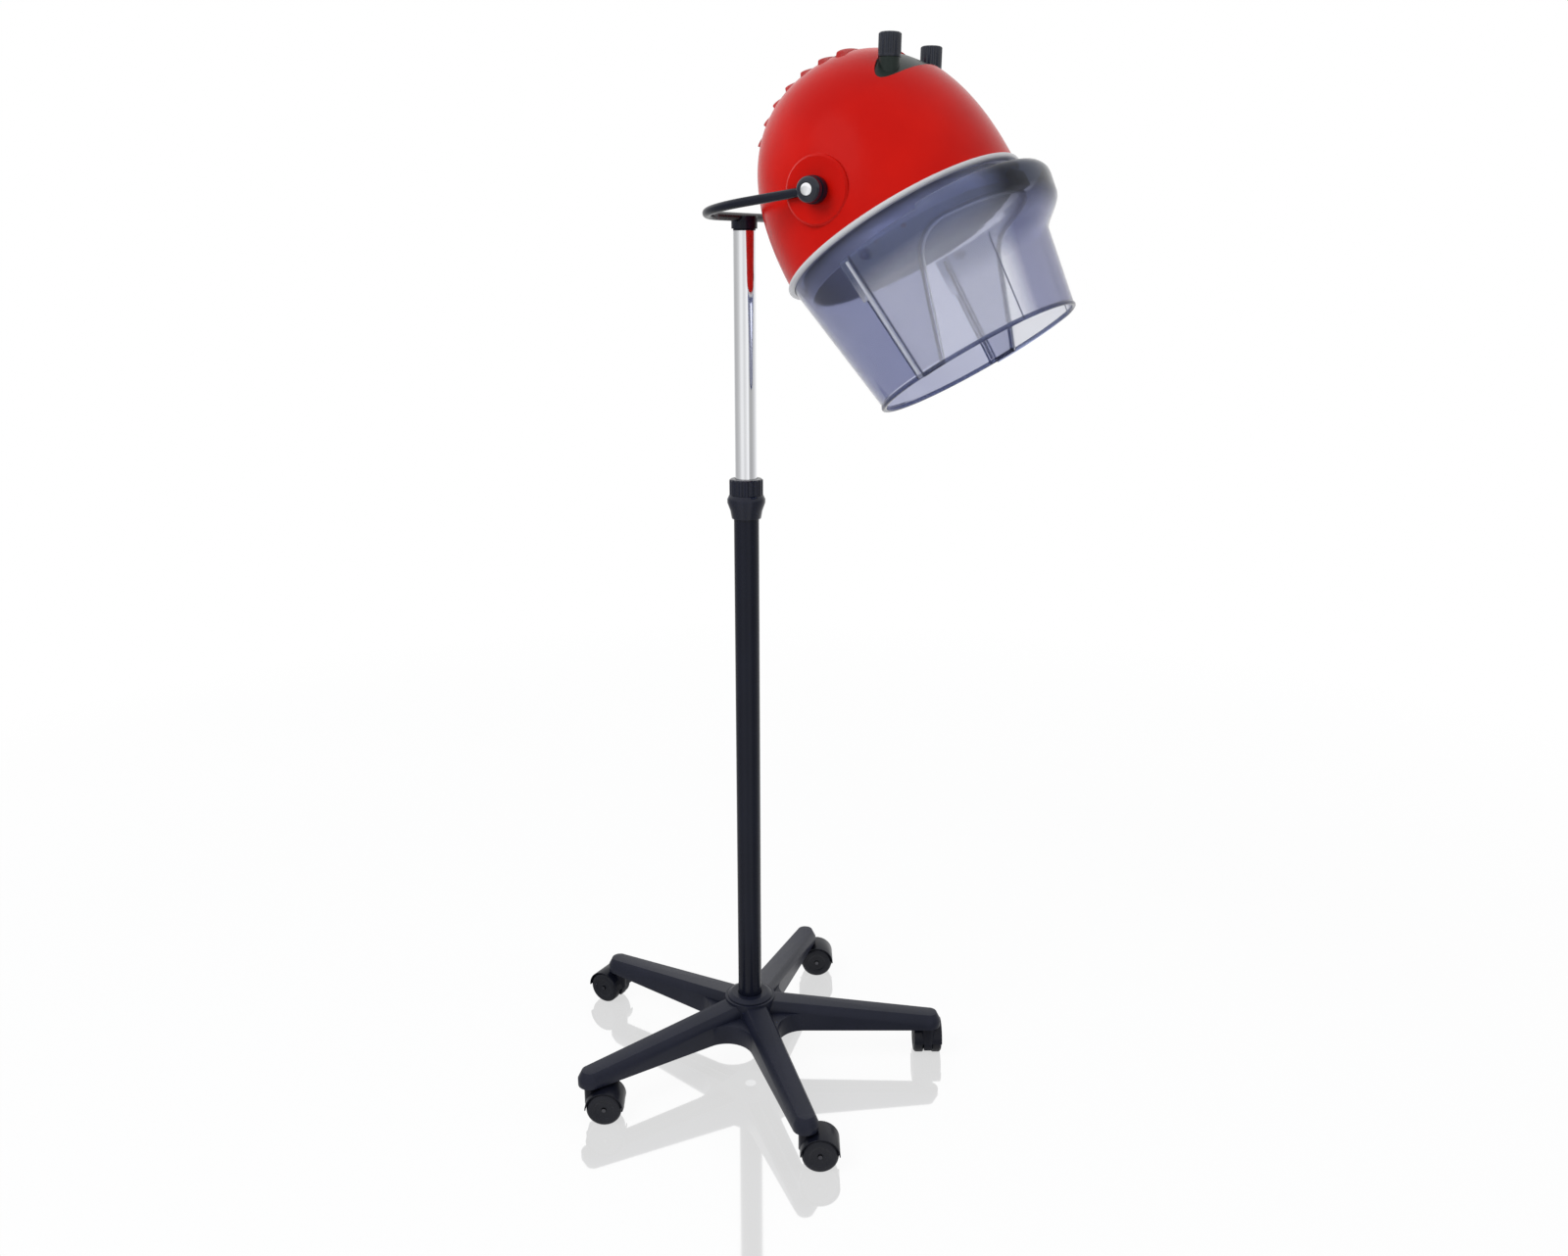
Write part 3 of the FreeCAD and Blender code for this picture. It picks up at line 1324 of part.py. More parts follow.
def make_friction_washers():
    """One washer between each boss and the yoke's eye."""
    washers = []
    for place in pivot_places().values():
        disc = cylinder(size("pivot_washer_diameter") / 2, Z_AXIS * boss_face(), Z_AXIS,
                        size("pivot_washer_thickness"))
        disc = disc.cut(cylinder(size("pivot_bolt_diameter") / 2, Z_AXIS * boss_face() / 2,
                                 Z_AXIS, boss_face()))
        disc.Placement = place
        washers.append(disc)
    return Part.makeCompound([solid for washer in washers for solid in washer.Solids])


keep_shape("friction_washers", make_friction_washers(), hood_frame)

knob_seat_x = yoke_arm_x() + size("yoke_eye_thickness") / 2 + size("turning_gap")
for name, side in (("tilt_knob_left", -1), ("tilt_knob_right", 1)):
    seat = Placement(Vector(side * knob_seat_x, hood_pivot.y, hood_pivot.z), Rotation(Y_AXIS, 90 * side))
    bolt_bore = "(Sizes.pivot_bolt_diameter / 2 + Sizes.running_clearance)"
    turned(name, [
        (bolt_bore, "0"),
        ("Sizes.tilt_knob_diameter / 2 - Sizes.turning_gap * 5", "0"),
        ("Sizes.tilt_knob_diameter / 2", "Sizes.tilt_knob_length * 0.15"),
        ("Sizes.tilt_knob_diameter / 2", "Sizes.tilt_knob_length * 0.45"),
        ("Sizes.tilt_knob_diameter * 0.45", "Sizes.tilt_knob_length * 0.7"),
        ("Sizes.tilt_knob_diameter * 0.34", "Sizes.tilt_knob_length * 0.88"),
        ("Sizes.tilt_knob_diameter * 0.2", "Sizes.tilt_knob_length * 0.97"),
        ("0", "Sizes.tilt_knob_length"),
        ("0", "Sizes.tilt_knob_length * 2 / 3"),
        (bolt_bore, "Sizes.tilt_knob_length * 2 / 3"),
    ], hood_frame.multiply(seat))

# Casters

caster_headings = [28, -62, 88, -62, -62]


def caster_place(index):
    """Frame on the floor under a caster's stem, +X the way its wheels trail."""
    centre = polar(size("caster_circle_radius"), leg_azimuths[index])
    return Placement(centre, Rotation(Z_AXIS, caster_headings[index % len(caster_headings)]))


def make_caster_housing():
    """Twin-wheel housing: a middle web, a fender over both wheels and a boss for the stem."""
    wheel = size("wheel_diameter") / 2
    web = size("caster_web") / 2
    inner = wheel + size("fender_gap")
    outer = inner + size("fender_wall")
    half = web + size("turning_gap") + size("wheel_width")
    axle = Vector(size("caster_trail"), 0, wheel)
    disc = cylinder(outer, axle - Y_AXIS * half, Y_AXIS, 2 * half)
    boss_top = size("leg_underside") - size("turning_gap")
    boss = cylinder(size("caster_boss_diameter") / 2, Z_AXIS * wheel, Z_AXIS, boss_top - wheel)
    housing = disc.fuse(boss)
    cutters = [cylinder(inner, axle + Y_AXIS * side * web, Y_AXIS * side, half) for side in (-1, 1)]
    low = -OVERCUT
    clear = 2 * outer
    for side in (-1, 1):
        near = side * web
        far = side * clear
        cutters.append(box_between(Vector(-clear, min(near, far), low),
                                   Vector(size("caster_trail") + clear, max(near, far), wheel)))
    cutters.append(box_between(Vector(-clear, -clear, low),
                               Vector(size("caster_trail") + clear, clear, wheel / 2)))
    cutters.append(cylinder(size("caster_stem_diameter") / 2, Z_AXIS * caster_stem_bottom, Z_AXIS,
                            size("caster_stem_length")))
    cutters.append(cylinder(size("caster_axle_diameter") / 2, axle - Y_AXIS * clear, Y_AXIS, 2 * clear))
    return housing.cut(cutters)


def make_caster_pins():
    """The caster's stem and its wheel axle."""
    stem = cylinder(size("caster_stem_diameter") / 2, Z_AXIS * caster_stem_bottom, Z_AXIS,
                    size("caster_stem_length"))
    half = size("caster_web") / 2 + size("turning_gap") + size("wheel_width")
    axle = cylinder(size("caster_axle_diameter") / 2,
                    Vector(size("caster_trail"), -half, size("wheel_diameter") / 2), Y_AXIS, 2 * half)
    return Part.makeCompound([stem, axle])


housing_shape = make_caster_housing()
pins_shape = make_caster_pins()
for index in range(int(size("leg_count"))):
    name = "caster_%d" % (index + 1)
    place = caster_place(index)
    keep_shape(name + "_housing", housing_shape, place)
    keep_shape(name + "_pins", pins_shape, place)
    for side, hand in ((-1, "left"), (1, "right")):
        hub_side = Vector(size("caster_trail"), side * (size("caster_web") / 2 + size("turning_gap")),
                          size("wheel_diameter") / 2)
        wheel_place = Placement(hub_side, Rotation(X_AXIS, -90 * side))
        axle_bore = "(Sizes.caster_axle_diameter / 2 + Sizes.running_clearance)"
        turned(name + "_wheel_" + hand, [
            (axle_bore, "0"),
            ("Sizes.wheel_diameter / 2 - Sizes.fender_wall", "0"),
            ("Sizes.wheel_diameter / 2", "Sizes.fender_wall"),
            ("Sizes.wheel_diameter / 2", "Sizes.wheel_width - Sizes.fender_wall * 2"),
            ("Sizes.wheel_diameter / 2 - Sizes.fender_wall * 2", "Sizes.wheel_width"),
            ("Sizes.wheel_diameter * 0.3", "Sizes.wheel_width"),
            ("Sizes.wheel_diameter * 0.26", "Sizes.wheel_width - Sizes.fender_wall"),
            (axle_bore, "Sizes.wheel_width - Sizes.fender_wall"),
        ], place.multiply(wheel_place))

doc.recompute()

faults = []
for item in doc.Objects:
    if "Invalid" in item.State or "Error" in item.State:
        faults.append("%s is in state %s" % (item.Label, item.State))
for item in sub_parts:
    if item.Shape.isNull() or not item.Shape.isValid():
        faults.append(item.Label + " has no valid shape")
if faults:
    raise RuntimeError("; ".join(faults))
for item in sub_parts:
    item.Shape.exportStep("parts/%s.step" % item.Label)
print(len(sub_parts), "sub-parts written")
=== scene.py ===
import bpy
import json
import math
from mathutils import Matrix, Vector

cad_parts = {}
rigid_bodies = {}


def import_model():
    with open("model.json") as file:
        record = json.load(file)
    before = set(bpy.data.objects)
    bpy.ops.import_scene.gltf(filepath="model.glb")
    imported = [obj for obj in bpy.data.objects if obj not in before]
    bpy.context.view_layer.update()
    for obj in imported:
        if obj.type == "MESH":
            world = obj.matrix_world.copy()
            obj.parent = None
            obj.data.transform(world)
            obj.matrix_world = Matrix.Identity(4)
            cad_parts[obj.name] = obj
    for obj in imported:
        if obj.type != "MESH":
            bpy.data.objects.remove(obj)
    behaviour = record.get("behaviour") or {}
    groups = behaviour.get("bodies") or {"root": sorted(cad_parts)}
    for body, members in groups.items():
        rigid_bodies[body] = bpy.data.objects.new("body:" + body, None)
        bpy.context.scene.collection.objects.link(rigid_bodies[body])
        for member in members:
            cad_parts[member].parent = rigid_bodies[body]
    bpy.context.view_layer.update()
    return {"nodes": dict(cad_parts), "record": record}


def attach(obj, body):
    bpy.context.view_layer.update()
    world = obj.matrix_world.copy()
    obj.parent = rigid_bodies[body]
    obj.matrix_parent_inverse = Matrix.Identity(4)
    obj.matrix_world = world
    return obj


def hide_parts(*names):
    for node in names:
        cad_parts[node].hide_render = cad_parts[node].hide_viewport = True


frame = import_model()
nodes = frame["nodes"]
print("packed model loaded")

# Where the hood's pivot stands and how far the hood leans at rest
hoodMount = {
    "pivotReach": 0.184,
    "pivotHeight": 1.273,
    "tilt": 32,                # degrees
    "pivotBehindAxis": 0.014,
    "pivotAboveRing": 0.057,
}
hoodPlace = (Matrix.Translation((0, -hoodMount["pivotReach"], hoodMount["pivotHeight"]))
             @ Matrix.Rotation(-math.radians(hoodMount["tilt"]), 4, "X")
             @ Matrix.Translation((0, -hoodMount["pivotBehindAxis"], -hoodMount["pivotAboveRing"])))


# Shader maths on sockets, written as plain expressions
class Reading:
    def __init__(self, finish, socket):
        self.finish = finish
        self.socket = socket

    def combine(self, operation, first, second):
        return self.finish.add("ShaderNodeMath", {"operation": operation}, {0: first, 1: second})

    def __add__(self, other):
        return self.combine("ADD", self, other)

    def __radd__(self, other):
        return self.combine("ADD", other, self)

    def __sub__(self, other):
        return self.combine("SUBTRACT", self, other)

    def __rsub__(self, other):
        return self.combine("SUBTRACT", other, self)

    def __mul__(self, other):
        return self.combine("MULTIPLY", self, other)

    def __rmul__(self, other):
        return self.combine("MULTIPLY", other, self)


# The nodes of one material or world
class Finish:
    def __init__(self, block, coordinates="Object"):
        block.use_nodes = True
        self.block = block
        self.tree = block.node_tree
        self.tree.nodes.clear()
        self.place = self.add("ShaderNodeTexCoord", output=coordinates)

    def add(self, kind, settings=None, sockets=None, output=0):
        node = self.tree.nodes.new(kind)
        for name, value in (settings or {}).items():
            if name == "stops":
                ramp = node.color_ramp.elements
                ramp[0].position, ramp[0].color = value[0]
                ramp[-1].position, ramp[-1].color = value[-1]
                for position, colour in value[1:-1]:
                    ramp.new(position).color = colour
            else:
                setattr(node, name, value)
        for name, value in (sockets or {}).items():
            if isinstance(value, Reading):
                self.tree.links.new(value.socket, node.inputs[name])
            else:
                node.inputs[name].default_value = value
        return Reading(self, node.outputs[output]) if node.outputs else None

    def noise(self, scale, detail, stretch=(1, 1, 1)):
        spot = self.add("ShaderNodeMapping", None, {"Vector": self.place, "Scale": stretch})
        return self.add("ShaderNodeTexNoise", None,
                        {"Vector": spot, "Scale": scale, "Detail": detail})

    # A noise turned into an even swing about zero
    def swing(self, noise, width):
        return (noise - 0.5) * width

    # Sockets 6 and 7 are the colours of a Mix node, and output 2 is its colour
    def mix(self, mask, first, second):
        return self.add("ShaderNodeMix", {"data_type": "RGBA"}, {0: mask, 6: first, 7: second},
                        output=2)

    def blend(self, mask, first, second):
        return self.mix(mask, (*first, 1), (*second, 1))

    def band(self, reading, low, high):
        return self.add("ShaderNodeMapRange", None,
                        {"Value": reading, "From Min": low, "From Max": high})

    # Place in the hood's own upright frame
    def hoodSpot(self):
        inner = hoodPlace.inverted()
        return self.add("ShaderNodeMapping", None,
                        {"Vector": self.place, "Location": inner.to_translation(),
                         "Rotation": inner.to_euler()})

    def grain(self, height, depth):
        return self.add("ShaderNodeBump", None,
                        {"Height": height, "Distance": depth, "Strength": 1.0})

    def shade(self, sockets):
        shader = self.add("ShaderNodeBsdfPrincipled", None, sockets)
        self.add("ShaderNodeOutputMaterial", None, {"Surface": shader})
        return self.block


# Noise scales are per metre and depths in metres
glossLook = {
    "cloudScale": 9,
    "rippleScale": 260,
    "rippleDepth": 0.00004,
    "unevenness": 0.06,
}
cloudRange = (0.3, 0.7)        # part of a cloud noise that spans a finish's two colours


def glossPlastic(name, dark, light, roughness, shine):
    finish = Finish(bpy.data.materials.new(name))
    cloud = finish.noise(glossLook["cloudScale"], detail=3)
    ripple = finish.noise(glossLook["rippleScale"], detail=1)
    return finish.shade({
        "Base Color": finish.blend(finish.band(cloud, *cloudRange), dark, light),
        "Roughness": roughness + finish.swing(cloud, glossLook["unevenness"]),
        "Specular IOR Level": shine,
        "Normal": finish.grain(ripple, glossLook["rippleDepth"]),
    })


grainLook = {
    "cloudScale": 14,
    "cloudShare": 0.6,         # of the colour, the pits give the rest
    "range": (0.35, 0.65),
    "pitUnevenness": 0.16,
    "cloudUnevenness": 0.1,
    "shine": 0.24,
}


def grainedPlastic(name, dark, light, roughness, pitScale, pitDepth):
    finish = Finish(bpy.data.materials.new(name))
    cloud = finish.noise(grainLook["cloudScale"], detail=3)
    pits = finish.noise(pitScale, detail=3)
    tone = cloud * grainLook["cloudShare"] + pits * (1 - grainLook["cloudShare"])
    return finish.shade({
        "Base Color": finish.blend(finish.band(tone, *grainLook["range"]), dark, light),
        "Roughness": (roughness + finish.swing(pits, grainLook["pitUnevenness"])
                      + finish.swing(cloud, grainLook["cloudUnevenness"])),
        "Specular IOR Level": grainLook["shine"],
        "Normal": finish.grain(pits, pitDepth),
    })


metalLook = {
    "streakScale": 60,
    "smudgeScale": 7,
    "smudgeRange": (0.45, 0.75),
    "smudgeDulling": 0.06,
    "unevenness": 0.05,
}


def brightMetal(name, dark, light, roughness, stretch, streakDepth):
    finish = Finish(bpy.data.materials.new(name))
    streak = finish.noise(metalLook["streakScale"], detail=4, stretch=stretch)
    smudge = finish.noise(metalLook["smudgeScale"], detail=3)
    dulled = finish.band(smudge, *metalLook["smudgeRange"]) * metalLook["smudgeDulling"]
    return finish.shade({
        "Base Color": finish.blend(finish.band(smudge, *cloudRange), dark, light),
        "Metallic": 1.0,
        "Roughness": roughness + dulled + finish.swing(streak, metalLook["unevenness"]),
        "Normal": finish.grain(streak, streakDepth),
    })


smokeLook = {
    "cloudScale": 6,
    "rippleScale": 40,
    "rippleDepth": 0.0001,
    "unevenness": 0.04,
    "bending": 1.3,
}


def smokedPlastic(name, dark, light, roughness, clearness):
    finish = Finish(bpy.data.materials.new(name))
    cloud = finish.noise(smokeLook["cloudScale"], detail=2)
    ripple = finish.noise(smokeLook["rippleScale"], detail=2)
    return finish.shade({
        "Base Color": finish.blend(finish.band(cloud, *cloudRange), dark, light),
        "Roughness": roughness + finish.swing(cloud, smokeLook["unevenness"]),
        "Transmission Weight": clearness,
        "IOR": smokeLook["bending"],
        "Normal": finish.grain(ripple, smokeLook["rippleDepth"]),
    })


# Each border is a run of distances from the middle plane, or of drops below the ring
visorLook = {
    # The flank tint is a painted highlight; the middle and brow tints are the smoked plastic's own
    # tint darkened as painted shade
    "flankHighlightTint": (0.93, 0.94, 0.99),
    "middleShadedTint": (0.38, 0.39, 0.54),
    "browShadeTint": (0.035, 0.045, 0.080),
    "browFlankShadeTint": (0.38, 0.42, 0.58),
    "flankBorder": (0.064, 0.090),
    "browFlankBorder": (0.085, 0.120),
    "browFootBorder": (0.050, 0.076),
    "waver": 0.012,
    "roughness": 0.08,
    "clearness": 0.84,
    "bending": 1.25,
}


# Visor wall: the smoked tint is painted darker over the middle facet and near black in the brow as
# painted shade, and painted light and milky on the flanks as a painted highlight
def visorPlasticPaintedLight(name):
    finish = Finish(bpy.data.materials.new(name))
    spot = finish.hoodSpot()
    sideways = finish.add("ShaderNodeSeparateXYZ", None, {"Vector": spot}, output="X")
    height = finish.add("ShaderNodeSeparateXYZ", None, {"Vector": spot}, output="Z")
    across = finish.add("ShaderNodeMath", {"operation": "ABSOLUTE"}, {0: sideways})
    cloud = finish.noise(smokeLook["cloudScale"], detail=2)
    ripple = finish.noise(smokeLook["rippleScale"], detail=2)
    spread = across + finish.swing(cloud, visorLook["waver"])
    drop = finish.swing(cloud, visorLook["waver"]) - height
    # Painted shade in the brow and over the middle facet, painted highlight on the flanks
    brow = finish.blend(finish.band(spread, *visorLook["browFlankBorder"]),
                        visorLook["browShadeTint"], visorLook["browFlankShadeTint"])
    wall = finish.blend(finish.band(spread, *visorLook["flankBorder"]),
                        visorLook["middleShadedTint"], visorLook["flankHighlightTint"])
    return finish.shade({
        "Base Color": finish.mix(finish.band(drop, *visorLook["browFootBorder"]), brow, wall),
        "Roughness": visorLook["roughness"] + finish.swing(cloud, smokeLook["unevenness"]),
        "Transmission Weight": visorLook["clearness"],
        "IOR": visorLook["bending"],
        "Normal": finish.grain(ripple, smokeLook["rippleDepth"]),
    })


wireLook = {
    "groove": (0.10, 0.085, 0.07),
    "crest": (0.42, 0.36, 0.30),
    "turnScale": 60.0,
    "distortion": 1.5,
    "turnDepth": 0.0004,
    "roughness": 0.32,
    "unevenness": 0.2,
}


# Coil turns: darker in the grooves between the turns as painted shade, lighter on the crests
def windingWire(name):
    finish = Finish(bpy.data.materials.new(name))
    turns = finish.add("ShaderNodeTexWave", {"wave_type": "RINGS", "rings_direction": "Z"},
                       {"Vector": finish.place, "Scale": wireLook["turnScale"],
                        "Distortion": wireLook["distortion"]})
    return finish.shade({
        "Base Color": finish.blend(turns, wireLook["groove"], wireLook["crest"]),
        "Metallic": 1.0,
        "Roughness": wireLook["roughness"] + turns * wireLook["unevenness"],
        "Normal": finish.grain(turns, wireLook["turnDepth"]),
    })


finishes = {
    "base_black": grainedPlastic("baseBlack", (0.007, 0.009, 0.019), (0.012, 0.014, 0.028),
                                 roughness=0.36, pitScale=900, pitDepth=0.00012),
    "mast_black": glossPlastic("mastBlack", (0.004, 0.005, 0.012), (0.006, 0.008, 0.018),
                               roughness=0.26, shine=0.22),
    "chrome": brightMetal("chrome", (0.90, 0.91, 0.94), (0.95, 0.96, 0.98),
                          roughness=0.05, stretch=(1, 1, 0.05), streakDepth=0.00001),
    "steel": brightMetal("steel", (0.45, 0.46, 0.48), (0.60, 0.61, 0.63),
                         roughness=0.28, stretch=(1, 1, 6), streakDepth=0.00003),
    "nylon": grainedPlastic("nylon", (0.66, 0.65, 0.60), (0.76, 0.75, 0.70),
                            roughness=0.5, pitScale=600, pitDepth=0.00008),
    "collar_black": glossPlastic("collarBlack", (0.004, 0.006, 0.015), (0.007, 0.009, 0.022),
                                 roughness=0.20, shine=0.34),
    "hood_red": glossPlastic("hoodRed", (0.50, 0.004, 0.002), (0.60, 0.007, 0.003),
                             roughness=0.24, shine=0.10),
    "panel_dark": grainedPlastic("panelDark", (0.010, 0.017, 0.015), (0.017, 0.026, 0.022),
                                 roughness=0.34, pitScale=800, pitDepth=0.0001),
    "knob_black": glossPlastic("knobBlack", (0.006, 0.009, 0.018), (0.010, 0.014, 0.028),
                               roughness=0.20, shine=0.50),
    "ring_pale": glossPlastic("ringPale", (0.52, 0.52, 0.55), (0.64, 0.64, 0.66),
                              roughness=0.22, shine=0.5),
    "smoked_blue": smokedPlastic("smokedBlue", (0.46, 0.48, 0.63), (0.52, 0.54, 0.68),
                                 roughness=0.10, clearness=0.96),
    "visor_blue": visorPlasticPaintedLight("visorBluePaintedLight"),
    "bowl_aluminium": brightMetal("bowlAluminium", (0.42, 0.46, 0.58), (0.52, 0.56, 0.68),
                                  roughness=0.34, stretch=(1, 1, 8), streakDepth=0.00004),
    "caster_black": glossPlastic("casterBlack", (0.004, 0.005, 0.011), (0.008, 0.009, 0.016),
                                 roughness=0.28, shine=0.20),
    "wheel_black": grainedPlastic("wheelBlack", (0.007, 0.008, 0.013), (0.014, 0.015, 0.021),
                                  roughness=0.42, pitScale=700, pitDepth=0.0001),
    "catch_dark": grainedPlastic("catchDark", (0.030, 0.022, 0.026), (0.045, 0.035, 0.040),
                                 roughness=0.36, pitScale=700, pitDepth=0.0001),
    "mica": grainedPlastic("mica", (0.38, 0.33, 0.25), (0.50, 0.45, 0.36),
                           roughness=0.45, pitScale=300, pitDepth=0.0001),
    "heater_wire": windingWire("heaterWire"),
}
# Finishes that single pieces wear in place of their slot's own
pinSteel = brightMetal("pinSteel", (0.05, 0.05, 0.06), (0.09, 0.09, 0.10),
                       roughness=0.4, stretch=(1, 1, 6), streakDepth=0.00003)
# Louvre scales: the shell's red plastic painted darker, as painted shade from the slots under their
# lips
ventRedPaintedShade = grainedPlastic("ventRedPaintedShade", (0.34, 0.004, 0.004), (0.44, 0.006, 0.005),
                         roughness=0.5, pitScale=300, pitDepth=0.00004)
# Dark smoked plastic for tubes laid in the walls along edges, rims and creases: painted shade lines
edgeShadeSmoke = smokedPlastic("edgeShadeSmoke", (0.16, 0.18, 0.30), (0.21, 0.24, 0.37),
                          roughness=0.14, clearness=0.9)
# Pale, cloudy smoked plastic for tubes on the opening's edge and behind the visor's rear edges:
# painted highlight lines
flangeHighlightSmoke = smokedPlastic("flangeHighlightSmoke", (0.66, 0.69, 0.80), (0.74, 0.77, 0.87),
                            roughness=0.2, clearness=0.35)
print("finishes made")

slotOfNode = {part["node"]: part["material_slot"] for part in frame["record"]["subparts"]}
for node, item in nodes.items():
    isCasterPins = node.startswith("caster") and node.endswith("_pins")
    for holder in item.material_slots:
        holder.material = pinSteel if isCasterPins else finishes[slotOfNode[node]]
print("packed pieces dressed")

# Small distances in metres and angles in degrees that all the modelling shares
bench = {
    "seed": 0.002,             # plane that shrinks to the first point of a drawn line
    "weld": 0.000002,
    "edgeRound": 0.0006,
    "edgeSteps": 2,
    "edgeAngle": 50,           # edges bent by more are rounded over
    "turnedSmooth": 40,        # edges bent by less are shaded smooth
    "tubeSmooth": 50,
    "tubeRounds": 2,
}


def clearSelection():
    bpy.ops.object.select_all(action="DESELECT")


def makeActive(piece):
    clearSelection()
    piece.select_set(True)
    bpy.context.view_layer.objects.active = piece


def named(piece, name):
    piece.name = piece.data.name = name
    return piece


# Opens a piece in edit mode with every point selected
def editAll(piece):
    makeActive(piece)
    bpy.ops.object.mode_set(mode="EDIT")
    bpy.ops.mesh.select_mode(type="VERT")
    bpy.ops.mesh.select_all(action="SELECT")


# Opens a piece in edit mode with only the wanted points or faces selected
def pick(piece, kind, wanted):
    makeActive(piece)
    bpy.ops.object.mode_set(mode="EDIT")
    bpy.ops.mesh.select_mode(type=kind)
    bpy.ops.mesh.select_all(action="DESELECT")
    bpy.ops.object.mode_set(mode="OBJECT")
    for item in piece.data.polygons if kind == "FACE" else piece.data.vertices:
        item.select = wanted(item.center if kind == "FACE" else item.co)
    bpy.ops.object.mode_set(mode="EDIT")


def leaveEdit():
    bpy.ops.object.mode_set(mode="OBJECT")


def modify(piece, kind, **settings):
    modifier = piece.modifiers.new(kind.lower(), kind)
    for name, value in settings.items():
        setattr(modifier, name, value)
    makeActive(piece)
    bpy.ops.object.modifier_apply(modifier=modifier.name)


def roundEdges(piece, width, steps=bench["edgeSteps"], angle=bench["edgeAngle"]):
    modify(piece, "BEVEL", width=width, segments=steps, limit_method="ANGLE",
           angle_limit=math.radians(angle))


def outwards(piece):
    editAll(piece)
    bpy.ops.mesh.normals_make_consistent(inside=False)
    leaveEdit()


# Turns the faces of an open wall away from the upright axis
def awayFromAxis(wall):
    face = wall.data.polygons[len(wall.data.polygons) // 2]
    if face.normal.dot(Vector((face.center.x, face.center.y, 0))) < 0:
        editAll(wall)
        bpy.ops.mesh.flip_normals()
        leaveEdit()


def smoothPiece(piece, angle):
    makeActive(piece)
    bpy.ops.object.shade_smooth_by_angle(angle=math.radians(angle))


# One point drawn out along a line of places
def drawnLine(name, points):
    clearSelection()
    bpy.ops.mesh.primitive_plane_add(size=bench["seed"])
    line = named(bpy.context.object, name)
    editAll(line)
    bpy.ops.mesh.merge(type="CENTER")
    bpy.ops.transform.translate(value=points[0])
    for start, end in zip(points, points[1:]):
        bpy.ops.mesh.extrude_vertices_move(TRANSFORM_OT_translate={"value": end - start})
    leaveEdit()
    return line


def spinLine(line, steps, angle):
    editAll(line)
    bpy.ops.mesh.spin(steps=steps, angle=math.radians(angle), center=(0, 0, 0), axis=(0, 0, 1))
    bpy.ops.mesh.select_all(action="SELECT")
    bpy.ops.mesh.remove_doubles(threshold=bench["weld"])
    leaveEdit()


# A half profile spun about the upright axis
def turnedPiece(name, profile, steps):
    piece = drawnLine(name, [Vector((radius, 0, height)) for radius, height in profile])
    spinLine(piece, steps, 360)
    outwards(piece)
    smoothPiece(piece, bench["turnedSmooth"])
    return piece


def tubeAlong(name, points, radius):
    tube = drawnLine(name, points)
    makeActive(tube)
    bpy.ops.object.convert(target="CURVE")
    tube = bpy.context.object
    tube.data.bevel_depth = radius
    tube.data.bevel_resolution = bench["tubeRounds"]
    tube.data.use_fill_caps = True
    bpy.ops.object.convert(target="MESH")
    tube = named(bpy.context.object, name)
    smoothPiece(tube, bench["tubeSmooth"])
    return tube


def joinPieces(name, pieces):
    clearSelection()
    for piece in pieces:
        piece.select_set(True)
    bpy.context.view_layer.objects.active = pieces[0]
    bpy.ops.object.join()
    return named(pieces[0], name)


# Pushes each point along its normal by its own share of the reach
def pushOut(piece, reach, share):
    group = piece.vertex_groups.new(name="share")
    for point in piece.data.vertices:
        group.add([point.index], min(max(share(point.co), 0), 1), "REPLACE")
    modify(piece, "DISPLACE", strength=reach, mid_level=0, vertex_group="share")
    bpy.ops.object.vertex_group_remove(all=True)


# Dresses a finished piece, puts it in its place and ties it to its body
def settle(piece, slot, body, replaced=(), place=None, cover=None):
    if place is not None:
        piece.data.transform(place)
    piece.data.materials.clear()
    piece.data.materials.append(cover or finishes[slot])
    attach(piece, body)
    if replaced:
        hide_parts(*replaced)


# A spot by its distance from the hood's axis, its heading from the front and its drop
def hoodPoint(radius, azimuth, drop):
    angle = math.radians(azimuth)
    return Vector((radius * math.sin(angle), -radius * math.cos(angle), -drop))


def azimuthOf(spot):
    return math.degrees(math.atan2(spot.x, -spot.y))


def ease(share):
    share = min(max(share, 0), 1)
    return share * share * (3 - 2 * share)


dome = {
    "radius": 0.156,
    "height": 0.219,
    "fullness": 2.35,
    "bands": 30,
    "steps": 144,
}


# Distance from the axis and height on the dome's outline, by angle above the ring
def domeSpot(angle):
    power = 2 / dome["fullness"]
    return (dome["radius"] * max(math.cos(math.radians(angle)), 0) ** power,
            dome["height"] * max(math.sin(math.radians(angle)), 0) ** power)


louvre = {
    "count": 7,
    "pitch": 0.027,
    "firstHeight": 0.180,
    "width": 0.120,
    "overhang": 0.0015,        # how far the lip stands over its slot
    "slot": 0.007,
    "reach": 0.0115,
    "lift": 0.0041,
    "footLift": 0.04,          # share of the lift that is left at the edges
    "fall": 1.7,
    "endRound": 0.16,
    "wall": 0.0016,
    "edgeRound": 0.0005,
    "hover": 0.012,            # height above the dome from which a scale is laid on it
    "clearance": 0.0002,
    "columns": 48,
    "rows": 10,
    "smooth": 40,
    "walkSteps": 720,
}


# Place behind the axis, height and slope of each louvre, by even steps over the crown
def louvrePlaces():
    steps = louvre["walkSteps"]
    walk = [domeSpot(90 * i / steps) for i in range(steps + 1)]
    walk += [(-back, up) for back, up in reversed(walk[:-1])]
    places = []
    travelled = 0
    for (back, up), (nextBack, nextUp) in zip(walk, walk[1:]):
        if not places and up < louvre["firstHeight"]:
            continue
        if travelled >= len(places) * louvre["pitch"] and len(places) < louvre["count"]:
            places.append((back, up, math.atan2(nextUp - up, back - nextBack)))
        travelled += math.hypot(nextBack - back, nextUp - up)
    return places


